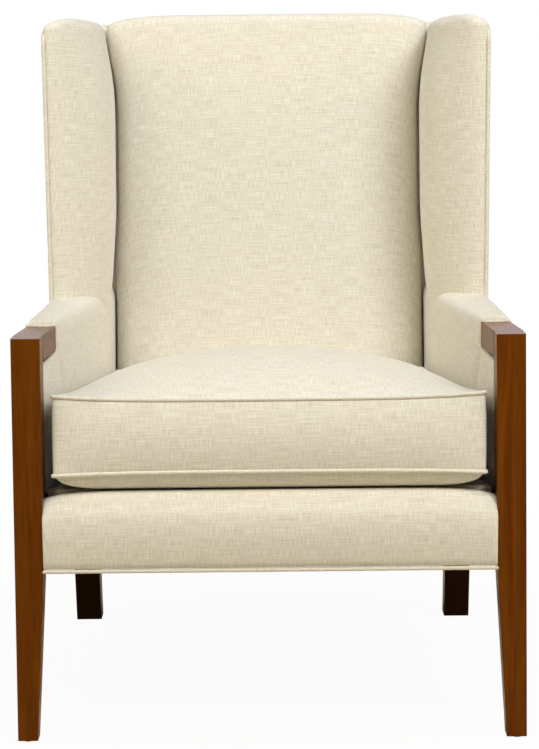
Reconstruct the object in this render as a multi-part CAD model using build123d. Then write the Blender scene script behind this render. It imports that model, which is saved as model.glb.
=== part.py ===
from build123d import *
import os
from math import atan2, cos, degrees, radians, sin, sqrt, tan

# Wing chair: exposed wood front posts and arm stubs, raked rear legs, upholstered
# arms, wings and back, and a loose boxed seat cushion with a zipped cover.
# Millimetres. X runs across the chair, -Y is its front, Z is up, floor at zero.
# "Depth" in the names below is measured back from the front face of the posts.

# Overall
chair_width = 735.0            # over the outer faces of the front posts, at the arms
arm_height = 599.0             # floor to the top of the exposed wood arm
back_height = 1060.0           # floor to the crown of the back
wing_drop = 4.0                # how far the wings' tops stay below that crown
rear_narrowing = 13.5          # how much each side comes in towards the back

# Exposed wood
post_side = 42.0               # square front post
foot_side = 28.0               # square end of the tapered front leg
leg_splay = 6.5                # how far each front leg leans out, arm to floor
wood_ease = 2.0                # eased edges of the show wood
stub_end_depth = 138.0         # where the bare arm ends and the padding starts
arm_rail_height = 37.0

# Rear legs, sawn in one piece with the back posts
rear_leg_width = 43.5
rear_leg_depth = 600.0         # depth of the leg's front face at the seat
rear_leg_thick = 48.0          # front to back at the seat
rear_foot_rake = 50.0          # how far the foot runs back from the seat
rear_foot_thick = 38.0
post_top_thick = 38.0
knee_above_deck = 22.5         # where the leg turns into the back post, above the seat deck
recline = 10.0                 # degrees

# Seat frame
seat_frame_height = 115.0      # seat deck over the rails' lower edge, at the front
rail_thick = 28.0
front_rail_setback = 12.0
back_rail_setback = 10.0
seat_pitch = 5.0               # degrees, the seat falls towards the back
deck_front_height = 375.0
deck_thick = 18.0
web_width = 50.0
web_thick = 2.0
seat_web_long_count = 5
seat_web_cross_count = 4
block_leg = 75.0               # corner blocks
block_height = 40.0
dust_cover_thick = 1.0

# Upholstery
panel_thick = 5.0              # outside panels: cloth over board
arm_face_over = 0.5            # how far the inside arm stands in from the front posts
arm_rear_thick = 88.0          # the arm's thickness at the crease with the back
arm_crease_behind = 36.0       # how far that crease lies behind the back's crown
arm_pad_over = 8.0             # padding on top of the arm rail
arm_roll_inner = 24.0
arm_roll_outer = 14.0
arm_pad_front = 12.0           # padding on the arm's tacking rail at the front post
tack_rail_inset = 3.5          # inner face of that rail, out from the back post's
tack_rail_thick = 22.0
tack_rail_height = 40.0
tack_rail_lift = 8.0           # above the deck at the front
wing_front_low = 412.0         # depth of the wing's front edge at the arm
wing_front_high = 440.0        # the same at its top
wing_wrap = 14.0               # padding in front of the wing stile
wing_low_over = 10.0           # how far the wing's face swells past the arm's below it
wing_high_thick = 103.0        # the wing's thickness at its swell, higher up
wing_swell_height = 150.0      # height over which the wing swells
wing_bulge_depth = 95.0        # where the swell lies behind the front edge
wing_bulge_turn = -2.0
wing_nose_depth = 24.0         # fullness of the rounded front edge
wing_nose_share = 0.52
wing_top_round = 34.0
wing_round_steps = 4
wing_welt_corner = 24.0
wing_welt_proud = 2.0          # how far the welt stands out from the wing's side
wing_welt_drop = 25.0          # the welt's top run, below the top of the wing
wing_crease_out = 8.0          # how far the wing's crease lies outside the arm's
wing_tuck = 8.0                # how far the wing's face runs on behind the back's
wing_board = 22.0              # thickness of the wing frame
stile_deep = 45.0
wing_rail_high = 40.0
wing_pad_over = 20.0           # padding on top of the wing rail
back_pad_thick = 71.0          # back posts to the back's crown, at the deck
back_crown = 24.0              # how far the creases lie behind that crown
back_top_fall = 19.0           # how far the back's top falls towards the wings
back_roll = 36.0
back_cap_rear_roll = 9.0
back_cap_over = 2.0            # how far the top's cap stands out behind the outside back
back_rail_high = 50.0
back_rail_thick = 28.0
back_bottom_low = 10.0         # lower back rail, up the posts from the knee
back_web_count = 4
cover_proud = 6.0              # how far the front cover swells past the posts
cover_end_proud = 4.0          # the same at its ends
cover_roll = 22.0
cover_end_fall = 11.0          # how far the front cover's top falls at its ends
cover_back_depth = 36.0
welt_radius = 3.0
soft_gap = 0.4                 # clearance between soft pieces

# Loose seat cushion, in the plane of the deck
cushion_side_gap = 10.0        # between its corners and the posts and arms
cushion_rear_gap = 1.0         # between its back edge and the back's crown
cushion_draw_in = 6.0          # how far the long sides pull in
belly_height = 26.0            # deck to the lower welt
boxing_height = 110.0          # lower welt to upper welt
crown_height = 50.0
belly_flat = 48.0              # how far the flat of the belly stops inside the welt
belly_press = 3.0              # how far the belly is flattened by the deck
end_ease = 1.0                 # crown left at the cushion's ends
shoulder_in = 17.0             # where the belly turns up to the lower welt
shoulder_share = 0.3           # how far up it has come there
welt_corner = 9.0
cover_cloth = 2.5
cushion_lift = 0.3             # running clearance over the deck
zip_half_length = 215.0
zip_tape_height = 26.0
zip_tape_thick = 0.8
zip_coil_height = 3.0
zip_coil_thick = 1.6
slider_length = 13.0
slider_height = 9.0
slider_wall = 1.6
slider_gap = 0.3
pull_length = 22.0
pull_width = 7.0
pull_thick = 1.2

# Hardware
dowel_radius = 5.0
dowel_length = 44.0
dowel_clear = 0.1
screw_radius = 3.0
screw_bite = 26.0              # how far a corner screw enters the leg
screw_lift = 8.0               # above the bottom of the rails
screw_head_radius = 6.0
screw_head_height = 3.0
glide_radius = 9.0
glide_height = 2.5
glide_pin_radius = 1.5
glide_pin_length = 14.0

# Dowels' heights, as shares of the rails' ends that they enter
front_rail_dowels = (0.45, 0.78)
side_rail_dowels = (0.3, 0.62)
rear_rail_dowel = 0.6
back_rail_dowels = (0.28, 0.72)

# Places, as shares of the half width or length, where the padded forms are drawn
back_stations = (-1.0, -0.8, -0.5, 0.0, 0.5, 0.8, 1.0)
cover_stations = (-1.0, -0.9, -0.6, 0.0, 0.6, 0.9, 1.0)
cushion_stations = (0.0, 0.06, 0.22, 0.5, 0.78, 0.94, 1.0)

# Powers of the padded forms' curves, higher ones stay flat further out
back_crown_power = 3
back_top_power = 3
cover_corner_power = 10
cover_swell_power = 4
belly_power = 5
crown_power = 2.6

# Derived
half_width = chair_width / 2
post_inner = half_width - post_side
rear_half_width = half_width - rear_narrowing
arm_inner_rear = rear_half_width - arm_rear_thick
wing_bulge_high = rear_half_width - wing_high_thick
arm_rail_bottom = arm_height - arm_rail_height
arm_top = arm_height + arm_pad_over
wing_height = back_height - wing_drop
wing_low = arm_top - arm_roll_inner
post_top_height = wing_height - wing_pad_over
pitch_tan = tan(radians(seat_pitch))
rail_bottom = deck_front_height - seat_frame_height
knee_height = deck_front_height - rear_leg_depth * pitch_tan + knee_above_deck
post_rise = post_top_height - knee_height
recline_tan = tan(radians(recline))
recline_cos = cos(radians(recline))
rear_leg_outer = rear_half_width - panel_thick
rear_leg_inner = rear_leg_outer - rear_leg_width
post_rear_slope = recline_tan + (post_top_thick - rear_leg_thick) / post_rise
back_top_low = post_rise / recline_cos - back_rail_high - web_thick
outside_back_top = rear_leg_depth + post_rise * recline_tan + post_top_thick + panel_thick
back_rear_depth = outside_back_top + back_cap_over
front_y = -(back_rear_depth + cover_proud) / 2 + cover_proud
back_front_depth = rear_leg_depth - back_pad_thick
arm_inner_front = post_inner - arm_face_over
arm_crease_depth = back_front_depth + arm_crease_behind
tack_rail_front = arm_inner_front + arm_pad_front
tack_rail_rear = rear_leg_inner + tack_rail_inset
wing_inner_face = rear_leg_outer - wing_board
wing_crease = arm_inner_rear + wing_crease_out
quarter_turn = 1 - sqrt(0.5)
big = 3 * back_height


def y_at(depth):
    return front_y + depth


def side_x(depth):
    """Outer face of the upholstery beside the seat."""
    return half_width - (half_width - rear_half_width) * depth / rear_leg_depth


def arm_inner_x(depth):
    return arm_inner_front - (arm_inner_front - arm_inner_rear) * (depth - post_side) / (
        arm_crease_depth - post_side
    )


def tack_x(depth):
    return tack_rail_front - (tack_rail_front - tack_rail_rear) * (depth - post_side) / (
        rear_leg_depth - post_side
    )


def deck_z(depth):
    return deck_front_height - depth * pitch_tan


def post_front(z):
    """Depth of the back posts' front face at a height."""
    return rear_leg_depth + max(z - knee_height, 0.0) * recline_tan


def post_rear(z):
    return rear_leg_depth + rear_leg_thick + max(z - knee_height, 0.0) * post_rear_slope


def padding_rear(z):
    """Depth of the plane that the padding ends on, in front of the straps across the back posts."""
    straps = 2 * web_thick / recline_cos
    return rear_leg_depth + (z - knee_height) * recline_tan - straps


def back_front(z):
    """Depth of the back's crown at a height."""
    return back_front_depth + (z - deck_z(back_front_depth)) * recline_tan


def wing_front(z):
    return wing_front_low + (wing_front_high - wing_front_low) * (z - arm_top) / (wing_height - arm_top)


def plan_prism(points, low, high):
    """Prism over an outline of (x, depth) points."""
    face = make_face(Polyline(*[(x, y_at(d), low) for x, d in points], close=True))
    return extrude(face, amount=high - low, dir=(0, 0, 1))


def side_prism(points, x_from, x_to):
    """Prism across the chair over an outline of (depth, z) points."""
    face = make_face(Polyline(*[(x_from, y_at(d), z) for d, z in points], close=True))
    return extrude(face, amount=x_to - x_from, dir=(1, 0, 0))


def block(x_from, x_to, d_from, d_to, z_from, z_to):
    size = Vector(x_to - x_from, d_to - d_from, z_to - z_from)
    middle = Pos((x_from + x_to) / 2, y_at((d_from + d_to) / 2), (z_from + z_to) / 2)
    return middle * Box(size.X, size.Y, size.Z)


def other_side(piece):
    return mirror(piece, about=Plane.YZ)


def rod(start, direction, length, radius):
    """Round bar from a point along a direction."""
    plane = Plane(origin=start, z_dir=direction)
    return plane.location * Cylinder(radius, length, align=(Align.CENTER, Align.CENTER, Align.MIN))


def tube(path, radius):
    """Round cord along a path."""
    plane = Plane(origin=path @ 0, z_dir=path % 0)
    return sweep(plane * Circle(radius), path=path)


# Planes that several pieces share
deck_plane = Plane(
    origin=(0, front_y, deck_front_height),
    x_dir=(1, 0, 0),
    z_dir=(0, sin(radians(seat_pitch)), cos(radians(seat_pitch))),
)
back_plane = Plane(
    origin=(0, y_at(rear_leg_depth), knee_height),
    x_dir=(1, 0, 0),
    z_dir=(0, -cos(radians(recline)), sin(radians(recline))),
)


def deck_box(x_from, x_to, y_from, y_to, z_from, z_to):
    """Box in the plane of the seat deck, whose top is at zero."""
    size = (x_to - x_from, y_to - y_from, z_to - z_from)
    middle = Pos((x_from + x_to) / 2, (y_from + y_to) / 2, (z_from + z_to) / 2)
    return deck_plane.location * (middle * Box(*size))


def back_box(x_from, x_to, y_from, y_to, z_from, z_to):
    """Box in the plane of the back posts' front faces, y up the posts."""
    size = (x_to - x_from, y_to - y_from, z_to - z_from)
    middle = Pos((x_from + x_to) / 2, (y_from + y_to) / 2, (z_from + z_to) / 2)
    return back_plane.location * (middle * Box(*size))


below_deck_web = deck_box(-big, big, -big, big, -big, -deck_thick)
behind_posts = back_box(-big, big, -big, big, -big, 2 * web_thick)
behind_post_face = back_box(-big, big, -big, big, -big, 0)


def front_leg():
    """Square post that leans out a little and tapers below the seat on its two inner faces."""
    lean = degrees(atan2(leg_splay, arm_height))
    top = Pos(half_width, front_y, 0) * Rectangle(post_side, post_side, align=(Align.MAX, Align.MIN))
    foot = Pos(half_width, front_y, 0) * Rectangle(foot_side, foot_side, align=(Align.MAX, Align.MIN))
    upper_length = arm_height + post_side - rail_bottom
    upper = extrude(Pos(0, 0, rail_bottom) * top, amount=upper_length, dir=(0, 0, 1))
    lower = loft([Pos(0, 0, -foot_side) * foot, Pos(0, 0, rail_bottom) * top])
    turn = Pos(half_width, 0, arm_height) * Rot(0, -lean, 0) * Pos(-half_width, 0, -arm_height)
    leg = turn * (upper + lower)
    leg &= block(0, big, -big, big, glide_height, arm_height)
    uprights = leg.edges().filter_by(lambda edge: abs(edge.tangent_at(0.5).Z) > 0.9)
    return fillet(uprights, wood_ease)


def rear_leg():
    foot_front = rear_leg_depth + rear_foot_rake
    outline = [
        (foot_front, glide_height),
        (rear_leg_depth, rail_bottom),
        (rear_leg_depth, knee_height),
        (post_front(post_top_height), post_top_height),
        (post_rear(post_top_height), post_top_height),
        (rear_leg_depth + rear_leg_thick, knee_height),
        (rear_leg_depth + rear_leg_thick, rail_bottom),
        (foot_front + rear_foot_thick, glide_height),
    ]
    return side_prism(outline, rear_leg_inner, rear_leg_outer)


def under_web(piece, layers):
    """Trims a rail so that the webbing lies on its sloping top."""
    return piece - deck_box(-big, big, -big, big, -deck_thick - layers * web_thick, big)


def front_seat_rail(legs):
    back = front_rail_setback + rail_thick
    bar = block(-half_width, half_width, front_rail_setback, back, rail_bottom, deck_front_height)
    return under_web(bar, 1) - legs


def back_seat_rail():
    front = rear_leg_depth + back_rail_setback
    bar = block(-rear_leg_inner, rear_leg_inner, front, front + rail_thick, rail_bottom, deck_front_height)
    return under_web(bar, 1)


def side_seat_rail():
    outline = [
        (side_x(post_side) - panel_thick, post_side),
        (side_x(rear_leg_depth) - panel_thick, rear_leg_depth),
        (side_x(rear_leg_depth) - panel_thick - rail_thick, rear_leg_depth),
        (side_x(post_side) - panel_thick - rail_thick, post_side),
    ]
    return under_web(plan_prism(outline, rail_bottom, deck_front_height), 2)


def arm_rail():
    """Show wood as far as the padding, then narrower by the outside panel's thickness."""
    stub_outer = side_x(stub_end_depth) - panel_thick
    outer = [
        (half_width, post_side),
        (stub_outer, stub_end_depth),
        (rear_leg_outer, rear_leg_depth),
        (rear_leg_outer, back_rear_depth),
    ]
    inner = [(x - post_side, d) for x, d in reversed(outer)]
    return plan_prism(outer + inner, arm_rail_bottom, arm_height) - behind_post_face


def arm_tack_rail():
    low = deck_front_height + tack_rail_lift
    end = rear_leg_depth + rear_leg_thick
    outline = [
        (tack_x(post_side), post_side),
        (tack_x(post_side) + tack_rail_thick, post_side),
        (tack_x(end) + tack_rail_thick, end),
        (tack_x(end), end),
    ]
    return plan_prism(outline, low, low + tack_rail_height) - behind_post_face


def wing_stile():
    low, high = arm_height, post_top_height - wing_rail_high
    outline = [
        (wing_front(low) + wing_wrap, low),
        (wing_front(low) + wing_wrap + stile_deep, low),
        (wing_front(high) + wing_wrap + stile_deep, high),
        (wing_front(high) + wing_wrap, high),
    ]
    return side_prism(outline, wing_inner_face, rear_leg_outer)


def wing_top_rail():
    low = post_top_height - wing_rail_high
    outline = [
        (wing_front(low) + wing_wrap, low),
        (wing_front(post_top_height) + wing_wrap, post_top_height),
        (back_rear_depth, post_top_height),
        (back_rear_depth, low),
    ]
    return side_prism(outline, wing_inner_face, rear_leg_outer) - behind_post_face


def back_rail(low):
    """Rail between the back posts, one strap's thickness proud of them."""
    return back_box(-rear_leg_inner, rear_leg_inner, low, low + back_rail_high, -back_rail_thick, web_thick)


def arm_form():
    """Whole upholstered arm: straight inside face, rolled top edges."""
    sections = []
    rear = post_front(arm_top) + rear_leg_thick
    for depth in (post_side, arm_crease_depth, rear):
        inner = arm_inner_x(min(depth, arm_crease_depth))
        outer = side_x(min(depth, rear_leg_depth))
        y = y_at(depth)
        low = rail_bottom
        fit = min(1.0, (outer - inner - soft_gap) / (arm_roll_inner + arm_roll_outer))
        roll_in, roll_out = fit * arm_roll_inner, fit * arm_roll_outer
        wire = Wire(
            [
                Line((inner, y, low), (inner, y, arm_top - roll_in)),
                ThreePointArc(
                    (inner, y, arm_top - roll_in),
                    (inner + quarter_turn * roll_in, y, arm_top - quarter_turn * roll_in),
                    (inner + roll_in, y, arm_top),
                ),
                Line((inner + roll_in, y, arm_top), (outer - roll_out, y, arm_top)),
                ThreePointArc(
                    (outer - roll_out, y, arm_top),
                    (outer - quarter_turn * roll_out, y, arm_top - quarter_turn * roll_out),
                    (outer, y, arm_top - roll_out),
                ),
                Line((outer, y, arm_top - roll_out), (outer, y, low)),
                Line((outer, y, low), (inner, y, low)),
            ]
        )
        sections.append(wire)
    return Solid.make_loft(sections, ruled=True) - below_deck_web - behind_posts


def arm_hollow():
    """Space between the inside arm padding and the outside arm panel, under the arm rail."""
    end = back_rear_depth
    outline = [(tack_x(0), 0), (big, 0), (big, end), (tack_x(end), end)]
    return plan_prism(outline, 0, arm_rail_bottom)


def arm_pad(form, rail, stile):
    bare_wood = block(0, big, 0, stub_end_depth, arm_rail_bottom, back_height)
    return form - arm_hollow() - bare_wood - rail - stile


def wing_section(z, inset):
    """Plan outline of a wing: rounded front edge, swelling inner face, crease at the back."""
    front = wing_front(z)
    crease = back_front(z) + back_crown + wing_tuck
    rise = min(max((z - arm_top) / wing_swell_height, 0.0), 1.0)
    bulge_low = arm_inner_x(wing_front_low + wing_bulge_depth) - wing_low_over
    bulge = bulge_low + (wing_bulge_high - bulge_low) * rise + inset
    outer = rear_half_width - inset
    rear = post_front(z) + rear_leg_thick
    start = (outer, y_at(front + inset), z)
    middle = (bulge, y_at(front + wing_bulge_depth), z)
    crease_point = (wing_crease, y_at(crease), z)
    nose = (outer - wing_nose_share * (outer - bulge), y_at(front + wing_nose_depth + inset), z)
    hollow = (bulge + wing_bulge_turn, y_at((front + wing_bulge_depth + crease) / 2), z)
    return Wire(
        [
            ThreePointArc(start, nose, middle),
            ThreePointArc(middle, hollow, crease_point),
            Line(crease_point, (wing_crease, y_at(rear), z)),
            Line((wing_crease, y_at(rear), z), (outer, y_at(rear), z)),
            Line((outer, y_at(rear), z), start),
        ]
    )


def wing_form(arm):
    """Whole upholstered wing, rounded over at its top, standing on the arm."""
    levels = [(wing_low, 0.0), (arm_top + wing_swell_height, 0.0)]
    for step in range(wing_round_steps + 1):
        angle = radians(90.0 * step / wing_round_steps)
        drop = wing_top_round * (1 - sin(angle))
        levels.append((wing_height - drop, wing_top_round * (1 - cos(angle))))
    form = Solid.make_loft([wing_section(z, inset) for z, inset in levels], ruled=True)
    return form - arm - behind_posts


def wing_hollow():
    """Space for the wing's frame behind its padding, and for the outside panel beside it."""
    spaces = []
    for high, x_from, x_to in (
        (post_top_height, wing_inner_face, rear_leg_outer),
        (wing_height - wing_top_round, rear_leg_outer, big),
    ):
        outline = [
            (wing_front(rail_bottom) + wing_wrap, rail_bottom),
            (wing_front(high) + wing_wrap, high),
            (back_rear_depth, high),
            (back_rear_depth, rail_bottom),
        ]
        spaces.append(side_prism(outline, x_from, x_to))
    return spaces


def back_section(x):
    """Profile of the back at one place across: reclined face, rolled top, cap over the posts."""
    away = min(abs(x) / wing_crease, 1.0)
    setback = back_crown * away**back_crown_power
    top = back_height - back_top_fall * away**back_top_power
    low = deck_z(back_front_depth) + soft_gap
    roll_low = top - back_roll
    rear = back_rear_depth
    rear_roll = min(back_cap_rear_roll, top - post_top_height - soft_gap)
    face_low = back_front(low) + setback
    face_high = back_front(roll_low) + setback
    roll_end = face_high + back_roll * (1 + recline_tan / 2)

    def at(depth, z):
        return (x, y_at(depth), z)

    return Wire(
        [
            Line(at(face_low, low), at(face_high, roll_low)),
            ThreePointArc(
                at(face_high, roll_low),
                at(roll_end - back_roll * (1 - quarter_turn), top - quarter_turn * back_roll),
                at(roll_end, top),
            ),
            Line(at(roll_end, top), at(rear - rear_roll, top)),
            ThreePointArc(
                at(rear - rear_roll, top),
                at(rear - quarter_turn * rear_roll, top - quarter_turn * rear_roll),
                at(rear, top - rear_roll),
            ),
            Line(at(rear, top - rear_roll), at(rear, post_top_height)),
            Line(at(rear, post_top_height), at(padding_rear(post_top_height), post_top_height)),
            Line(at(padding_rear(post_top_height), post_top_height), at(padding_rear(low), low)),
            Line(at(padding_rear(low), low), at(face_low, low)),
        ]
    )


def back_form():
    return Solid.make_loft([back_section(share * rear_half_width) for share in back_stations])


def outside_back_panel():
    faces = [(post_rear(z), z) for z in (rail_bottom, knee_height, post_top_height)]
    outline = faces + [(depth + panel_thick, z) for depth, z in reversed(faces)]
    return side_prism(outline, -rear_half_width, rear_half_width)


def outside_arm_panel(rear, legs):
    """Cloth-covered board from the front post to the back panel, under the arm rail."""
    strip = [
        (side_x(post_side), post_side),
        (side_x(rear_leg_depth), rear_leg_depth),
        (rear_half_width, back_rear_depth),
        (rear_half_width - panel_thick, back_rear_depth),
        (side_x(rear_leg_depth) - panel_thick, rear_leg_depth),
        (side_x(post_side) - panel_thick, post_side),
    ]
    outline = [
        (post_side, rail_bottom),
        (post_side, arm_rail_bottom),
        (padding_rear(arm_rail_bottom), arm_rail_bottom),
        (padding_rear(wing_low), wing_low),
        (post_rear(wing_low), wing_low),
        (post_rear(knee_height), knee_height),
        (post_rear(rail_bottom), rail_bottom),
    ]
    return (plan_prism(strip, 0, back_height) & side_prism(outline, 0, big)) - rear - legs


def outside_wing_panel(arm):
    round_low = wing_height - wing_top_round
    outline = [
        (wing_front(wing_low) + wing_wrap, wing_low),
        (wing_front(round_low) + wing_wrap, round_low),
        (padding_rear(round_low), round_low),
        (padding_rear(post_top_height), post_top_height),
        (post_rear(post_top_height), post_top_height),
        (post_rear(wing_low), wing_low),
    ]
    return side_prism(outline, rear_leg_outer, rear_half_width) - arm


def cover_section(x):
    """Profile of the padded front cover: swelling face, rolled top, back over the rail."""
    away = min(abs(x) / post_inner, 1.0)
    fall = cover_end_fall * away**cover_corner_power
    swell = cover_proud + (cover_end_proud - cover_proud) * away**cover_swell_power
    low = rail_bottom
    rail_top = deck_z(front_rail_setback) - deck_thick + soft_gap
    top = deck_z(cover_back_depth) - fall - soft_gap
    roll_low = top - cover_roll
    bend = quarter_turn * cover_roll

    def at(depth, z):
        return (x, y_at(depth), z)

    return Wire(
        [
            ThreePointArc(at(0, low), at(-swell, (low + roll_low) / 2), at(0, roll_low)),
            ThreePointArc(at(0, roll_low), at(bend, top - bend), at(cover_roll, top)),
            Line(at(cover_roll, top), at(cover_back_depth, top)),
            Line(at(cover_back_depth, top), at(cover_back_depth, rail_top)),
            Line(at(cover_back_depth, rail_top), at(front_rail_setback, rail_top)),
            Line(at(front_rail_setback, rail_top), at(front_rail_setback, low)),
            Line(at(front_rail_setback, low), at(0, low)),
        ]
    )


def front_cover(legs):
    half = post_inner + leg_splay
    return Solid.make_loft([cover_section(share * half) for share in cover_stations]) - legs


def seat_deck():
    """Padded platform between the arms, behind the front cover."""
    start = cover_back_depth + soft_gap + deck_thick * pitch_tan
    end = rear_leg_depth - soft_gap
    slope = 1 / cos(radians(seat_pitch))
    outline = [
        (arm_inner_x(start) - soft_gap, start),
        (arm_inner_x(arm_crease_depth) - soft_gap, arm_crease_depth),
        (arm_inner_x(arm_crease_depth) - soft_gap, end),
    ]
    points = outline + [(-x, d) for x, d in reversed(outline)]
    face = make_face(Polyline(*[(x, d * slope, -deck_thick) for x, d in points], close=True))
    return deck_plane.location * extrude(face, amount=deck_thick, dir=(0, 0, 1))


cushion_length = back_front_depth - cushion_rear_gap
cushion_half_front = post_inner - cushion_side_gap
cushion_half_rear = arm_inner_x(cushion_length) - cushion_side_gap


def cushion_half(share):
    """Half the cushion's width at a share of its length, pulled in between its corners."""
    straight = cushion_half_front + (cushion_half_rear - cushion_half_front) * share
    return straight - cushion_draw_in * 4 * share * (1 - share)


def cushion_section(share, inset):
    """Section across the cushion: crowned top, boxed sides, belly that is flat on the deck."""
    y = share * cushion_length + inset * (1 - 2 * share)
    half = cushion_half(share) - inset
    away = abs(2 * share - 1)
    high = belly_height + boxing_height - inset
    low = belly_height + inset
    bottom = low - (belly_height + belly_press) * (1 - away**belly_power) - end_ease
    top = high + crown_height * (1 - away**crown_power) + end_ease
    flat = half - belly_flat
    shoulder = (half - shoulder_in, y, bottom + (low - bottom) * shoulder_share)

    def flip(point):
        return (-point[0], point[1], point[2])

    right_top, right_low, right_flat = (half, y, high), (half, y, low), (flat, y, bottom)
    return Wire(
        [
            ThreePointArc(flip(right_top), (0, y, top), right_top),
            Line(right_top, right_low),
            ThreePointArc(right_low, shoulder, right_flat),
            Line(right_flat, flip(right_flat)),
            ThreePointArc(flip(right_flat), flip(shoulder), flip(right_low)),
            Line(flip(right_low), flip(right_top)),
        ]
    )


def cushion_form(inset):
    form = Solid.make_loft([cushion_section(share, inset) for share in cushion_stations])
    return deck_plane.location * form - deck_box(-big, big, -big, big, -big, cushion_lift + inset)


def cushion_welt(height):
    """Cord round the cushion along one edge of its boxing."""
    front, rear, middle = (cushion_half(share) for share in (0.0, 1.0, 0.5))
    outline = make_face(
        [
            Line((-front, 0), (front, 0)),
            ThreePointArc((front, 0), (middle, cushion_length / 2), (rear, cushion_length)),
            Line((rear, cushion_length), (-rear, cushion_length)),
            ThreePointArc((-rear, cushion_length), (-middle, cushion_length / 2), (-front, 0)),
        ]
    )
    path = fillet(outline.vertices(), welt_corner).wire()
    return deck_plane.location * (Pos(0, 0, height) * tube(path, welt_radius))


def wing_welt(arm):
    """Cord up the wing's outer front edge and back along its top."""
    high = wing_height - wing_welt_drop
    x = rear_half_width - welt_radius + wing_welt_proud
    path = FilletPolyline(
        (x, y_at(wing_front(wing_low)), wing_low),
        (x, y_at(wing_front(high)), high),
        (x, y_at(padding_rear(high)), high),
        radius=wing_welt_corner,
    )
    return tube(path, welt_radius) - arm


def zip_tape():
    """Zip sewn into the cushion's back boxing: tape, coil and two end stops."""
    z = belly_height + boxing_height / 2
    y = cushion_length
    parts = [
        (zip_half_length, zip_tape_height, 0, zip_tape_thick),
        (zip_half_length, zip_coil_height, zip_tape_thick, zip_tape_thick + zip_coil_thick),
    ]
    shape = None
    for half, height, y_from, y_to in parts:
        bar = deck_box(-half, half, y + y_from, y + y_to, z - height / 2, z + height / 2)
        shape = bar if shape is None else shape + bar
    return shape


def zip_slider():
    """Slider body that straddles the coil, parked at the closed end."""
    z = belly_height + boxing_height / 2
    y = cushion_length + zip_tape_thick + slider_gap
    high = zip_coil_thick + slider_wall
    x = zip_half_length - slider_length
    body = deck_box(x, x + slider_length, y, y + high, z - slider_height / 2, z + slider_height / 2)
    channel = zip_coil_height / 2 + slider_gap
    return body - deck_box(0, big, 0, y + zip_coil_thick, z - channel, z + channel)


def zip_pull():
    """Flat pull tab lying along the zip from the slider."""
    z = belly_height + boxing_height / 2
    y = cushion_length + zip_tape_thick + slider_gap + zip_coil_thick + slider_wall
    x = zip_half_length - slider_length / 2
    return deck_box(x - pull_length, x, y, y + pull_thick, z - pull_width / 2, z + pull_width / 2)


def seat_webbing():
    """Straps woven front to back over straps that run from side to side."""
    straps = []
    high = -deck_thick
    slope = 1 / cos(radians(seat_pitch))
    start = front_rail_setback * slope + (deck_thick + web_thick) * pitch_tan
    end = (rear_leg_depth + back_rail_setback + rail_thick) * slope
    span = 2 * rear_leg_inner - 2 * web_width
    for index in range(seat_web_long_count):
        x = span * (index / (seat_web_long_count - 1) - 0.5)
        low = high - web_thick
        straps.append(deck_box(x - web_width / 2, x + web_width / 2, start, end, low, high))
    first = front_rail_setback + rail_thick + web_width
    step = (rear_leg_depth - web_width - first) / (seat_web_cross_count - 1)
    for index in range(seat_web_cross_count):
        depth = first + index * step
        half = side_x(depth + web_width) - panel_thick
        low, top = high - 2 * web_thick, high - web_thick
        y = depth * slope
        straps.append(deck_box(-half, half, y - web_width / 2, y + web_width / 2, low, top))
    return Compound(children=straps)


def back_webbing(low, high):
    """Straps across the back posts, with upright straps over them from rail to rail."""
    straps = []
    arm_low = (arm_rail_bottom - knee_height) / recline_cos - arm_rail_height * recline_tan
    arm_high = (arm_height - knee_height) / recline_cos
    first = arm_high + web_width
    step = (high - web_width - first) / (back_web_count - 2)
    places = [(low + back_rail_high + arm_low) / 2]
    places += [first + index * step for index in range(back_web_count - 1)]
    half = rear_leg_inner + rear_leg_width / 2
    for y in places:
        straps.append(back_box(-half, half, y - web_width / 2, y + web_width / 2, 0, web_thick))
    span = 2 * rear_leg_inner - 3 * web_width
    for index in range(back_web_count):
        x = span * (index / (back_web_count - 1) - 0.5)
        edges = (x - web_width / 2, x + web_width / 2)
        straps.append(back_box(*edges, low, high + back_rail_high, web_thick, 2 * web_thick))
    return Compound(children=straps)


def corner_blocks(leg, rear):
    """Front and rear glue blocks of one side, cut round the leg they brace."""
    front_face = front_rail_setback + rail_thick
    rear_face = rear_leg_depth + back_rail_setback
    edge = side_x(0)
    top = rail_bottom + block_height
    front = plan_prism(
        [
            (edge, front_face),
            (post_inner - block_leg, front_face),
            (edge, edge - post_inner + block_leg + front_face),
        ],
        rail_bottom,
        top,
    )
    edge = side_x(rear_leg_depth)
    back = plan_prism(
        [
            (edge, rear_face),
            (rear_leg_inner - block_leg, rear_face),
            (edge, rear_face - (edge - rear_leg_inner) - block_leg),
        ],
        rail_bottom,
        top,
    )
    outside_rail = plan_prism(
        [
            (side_x(0) - panel_thick - rail_thick, 0),
            (big, 0),
            (big, back_rear_depth),
            (side_x(back_rear_depth) - panel_thick - rail_thick, back_rear_depth),
        ],
        0,
        big,
    )
    keep = under_web(block(0, big, 0, big, 0, big), 2)
    return ((front & keep) - outside_rail - leg), ((back & keep) - outside_rail - rear)


def corner_screws():
    """Front and rear screws of one side: start on the block's face, direction into the leg, length."""
    z = rail_bottom + screw_lift
    front_face = front_rail_setback + rail_thick
    rear_face = rear_leg_depth + back_rail_setback
    corner_x = post_inner + leg_splay * (arm_height - z) / arm_height
    run = (corner_x - post_inner + block_leg - (post_side - front_face)) / 2
    front = ((corner_x - run, y_at(post_side + run), z), (1, -1, 0), run * sqrt(2) + screw_bite)
    run = (block_leg - back_rail_setback) / 2
    back = ((rear_leg_inner - run, y_at(rear_leg_depth - run), z), (1, 1, 0), run * sqrt(2) + screw_bite)
    return front, back


def screw(start, direction, length, extra):
    """Shank and head of a corner screw, grown by a clearance for its hole."""
    away = Vector(*direction).normalized()
    shank = rod(start, away, length + extra, screw_radius + extra)
    return shank + rod(start, -away, screw_head_height, screw_head_radius)


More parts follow.
